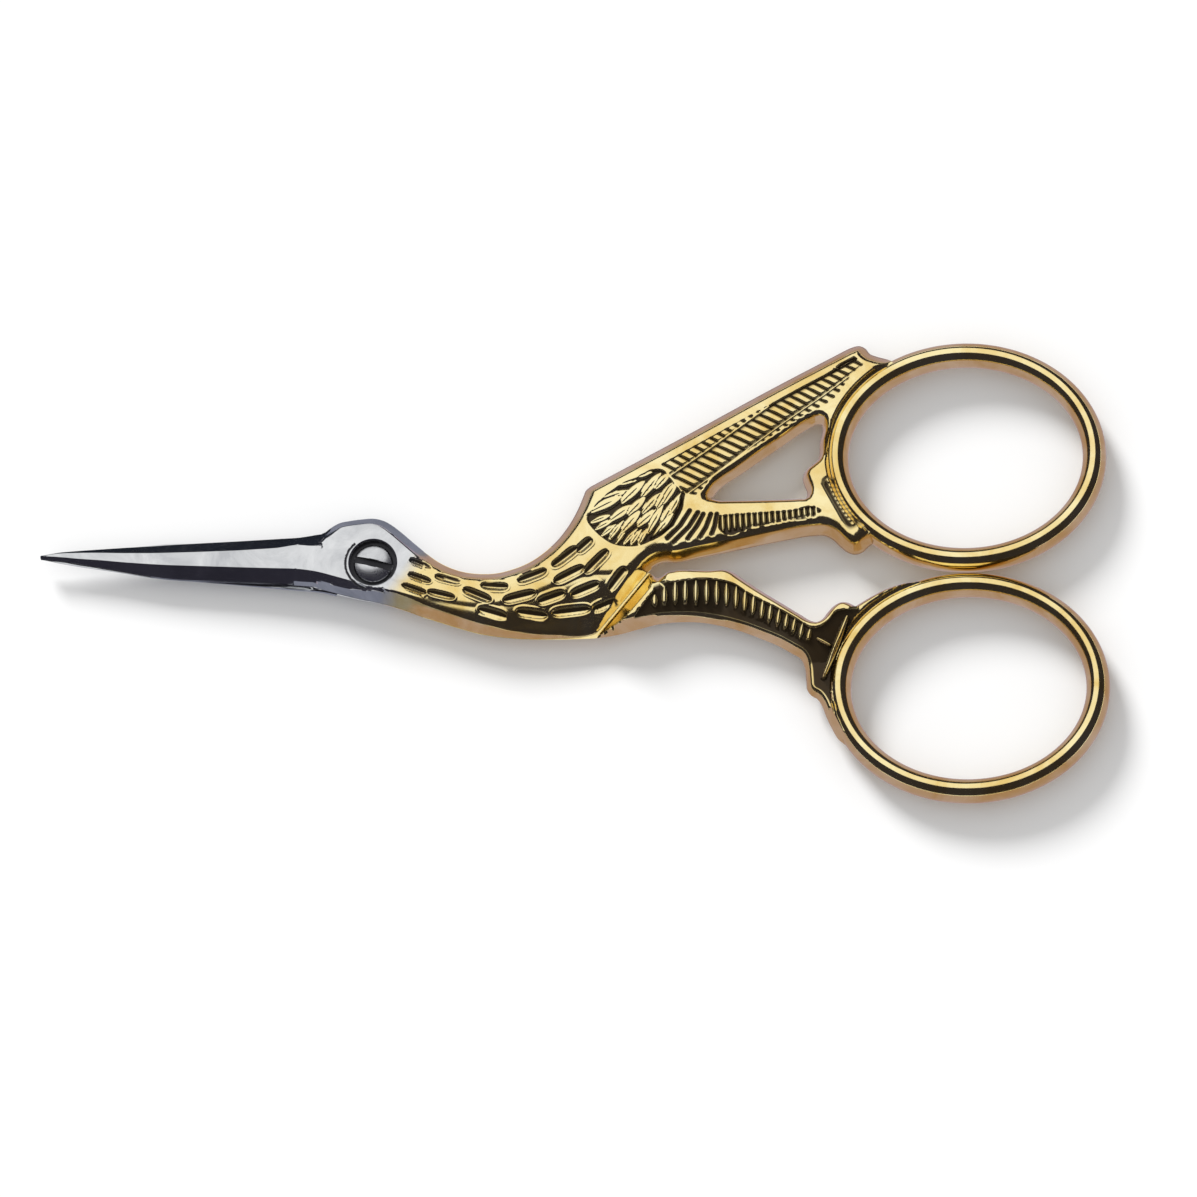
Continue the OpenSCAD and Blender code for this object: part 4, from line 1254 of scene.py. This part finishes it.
paper = stage_mesh("paper", [(-3, -3, -2e-5), (3, -3, -2e-5), (3, 3, -2e-5), (-3, 3, -2e-5)], [(0, 1, 2, 3)])
paper_white = bpy.data.materials.new("paper_white")
paper_white.use_nodes = True
matt = paper_white.node_tree.nodes["Principled BSDF"].inputs
matt["Base Color"].default_value = (0.88, 0.88, 0.88, 1)
matt["Roughness"].default_value = 1
matt["Specular IOR Level"].default_value = 0
paper.data.materials.append(paper_white)

# %% Tent
TENT_R = 0.45
TENT_ROWS, TENT_SIDES = 40, 96
OPENING = math.radians(38)
TENT_LEAN = math.radians(32)
tent_axis = np.array([-0.18, math.sin(TENT_LEAN), math.cos(TENT_LEAN)])
tent_axis = tent_axis / np.linalg.norm(tent_axis)
side_a = np.cross(tent_axis, (1, 0, 0))
side_a = side_a / np.linalg.norm(side_a)
side_b = np.cross(tent_axis, side_a)
polar = np.linspace(OPENING, math.pi, TENT_ROWS)[:, None]
round_it = np.linspace(0, 2 * math.pi, TENT_SIDES, endpoint=False)[None, :]
tent_grid = (np.cos(polar)[..., None] * tent_axis + (np.sin(polar) * np.cos(round_it))[..., None] * side_a
             + (np.sin(polar) * np.sin(round_it))[..., None] * side_b) * TENT_R
i, j = np.meshgrid(np.arange(TENT_ROWS - 1), np.arange(TENT_SIDES), indexing="ij")
here, beside = i * TENT_SIDES + j, i * TENT_SIDES + (j + 1) % TENT_SIDES
tent_faces = np.stack([here, beside, beside + TENT_SIDES, here + TENT_SIDES], -1).reshape(-1, 4)
tent = stage_mesh("tent", tent_grid.reshape(-1, 3).tolist(), tent_faces.tolist())


def mirrored_only(shape, name, colour):
    """Plain glowing colour on a stage object that only mirrors can see."""
    cloth = bpy.data.materials.new(name)
    cloth.use_nodes = True
    cloth.node_tree.nodes.clear()
    out = add(cloth.node_tree, "ShaderNodeOutputMaterial")
    glow = add(cloth.node_tree, "ShaderNodeEmission", [("Color", colour), ("Strength", 1)])
    cloth.node_tree.links.new(glow.outputs[0], out.inputs["Surface"])
    shape.data.materials.append(cloth)
    shape.visible_camera = False
    shape.visible_diffuse = False
    shape.visible_shadow = False
    shape.visible_transmission = False


mirrored_only(tent, "tent_cloth", (0.032, 0.03, 0.042, 1))

# %% Cards under the tool
# What the side walls mirror is the paper right at their foot, which lies in the tool's own shade.
# Cards of that shade lie on the paper, warm under the handles and cool under the boss. A dark one
# beside the cutting edge keeps the upper bevel as dark as the lower one.
for name, low, high, shade in (("card_warm", (0.6, -60), (100, 0), (0.44, 0.35, 0.42, 1)),
                               ("card_warm_top", (5.2, 0), (100, 60), (0.44, 0.35, 0.42, 1)),
                               ("card_cool", (-60, -60), (0.6, 0), (0.26, 0.27, 0.33, 1)),
                               ("card_cool_top", (-4.9, 0), (5.2, 60), (0.26, 0.27, 0.33, 1)),
                               ("card_dark", (-60, 0), (-4.9, 60), (0.02, 0.023, 0.032, 1))):
    corners = ((low[0], low[1]), (high[0], low[1]), (high[0], high[1]), (low[0], high[1]))
    card = stage_mesh(name, [(x * MM, y * MM, -1e-5) for x, y in corners], [(0, 1, 2, 3)])
    mirrored_only(card, name, shade)

# %% World and lamp
world = bpy.data.worlds.new("studio")
world.use_nodes = True
bpy.context.scene.world = world
tree = world.node_tree
sky = tree.nodes["Background"]
sky.inputs["Color"].default_value = (1, 1, 1, 1)
rays = add(tree, "ShaderNodeLightPath")
seen = add(tree, "ShaderNodeMath", operation="MAXIMUM")
clear = add(tree, "ShaderNodeMath", operation="MAXIMUM")
strength = add(tree, "ShaderNodeMapRange", [("To Min", 0.7), ("To Max", 1)])
wire(
    tree, (rays, "Is Camera Ray", seen, 0), (rays, "Is Glossy Ray", seen, 1), (seen, 0, clear, 0),
    (rays, "Is Transmission Ray", clear, 1), (clear, 0, strength, "Value"),
    (strength, "Result", sky, "Strength"))

lamp = bpy.data.lights.new("low_lamp", "SUN")
lamp.energy = 3.05
lamp.angle = math.radians(20)
low_lamp = bpy.data.objects.new("low_lamp", lamp)
LAMP_UP = math.radians(31)
LAMP_X, LAMP_Y = -0.53, 0.85
toward = Vector((LAMP_X * math.cos(LAMP_UP), LAMP_Y * math.cos(LAMP_UP), math.sin(LAMP_UP)))
low_lamp.rotation_euler = toward.to_track_quat("Z", "Y").to_euler()
low_lamp.visible_glossy = False
bpy.context.scene.collection.objects.link(low_lamp)
bpy.context.scene.view_settings.view_transform = "Standard"
print("paper, tent, sky and one lamp")
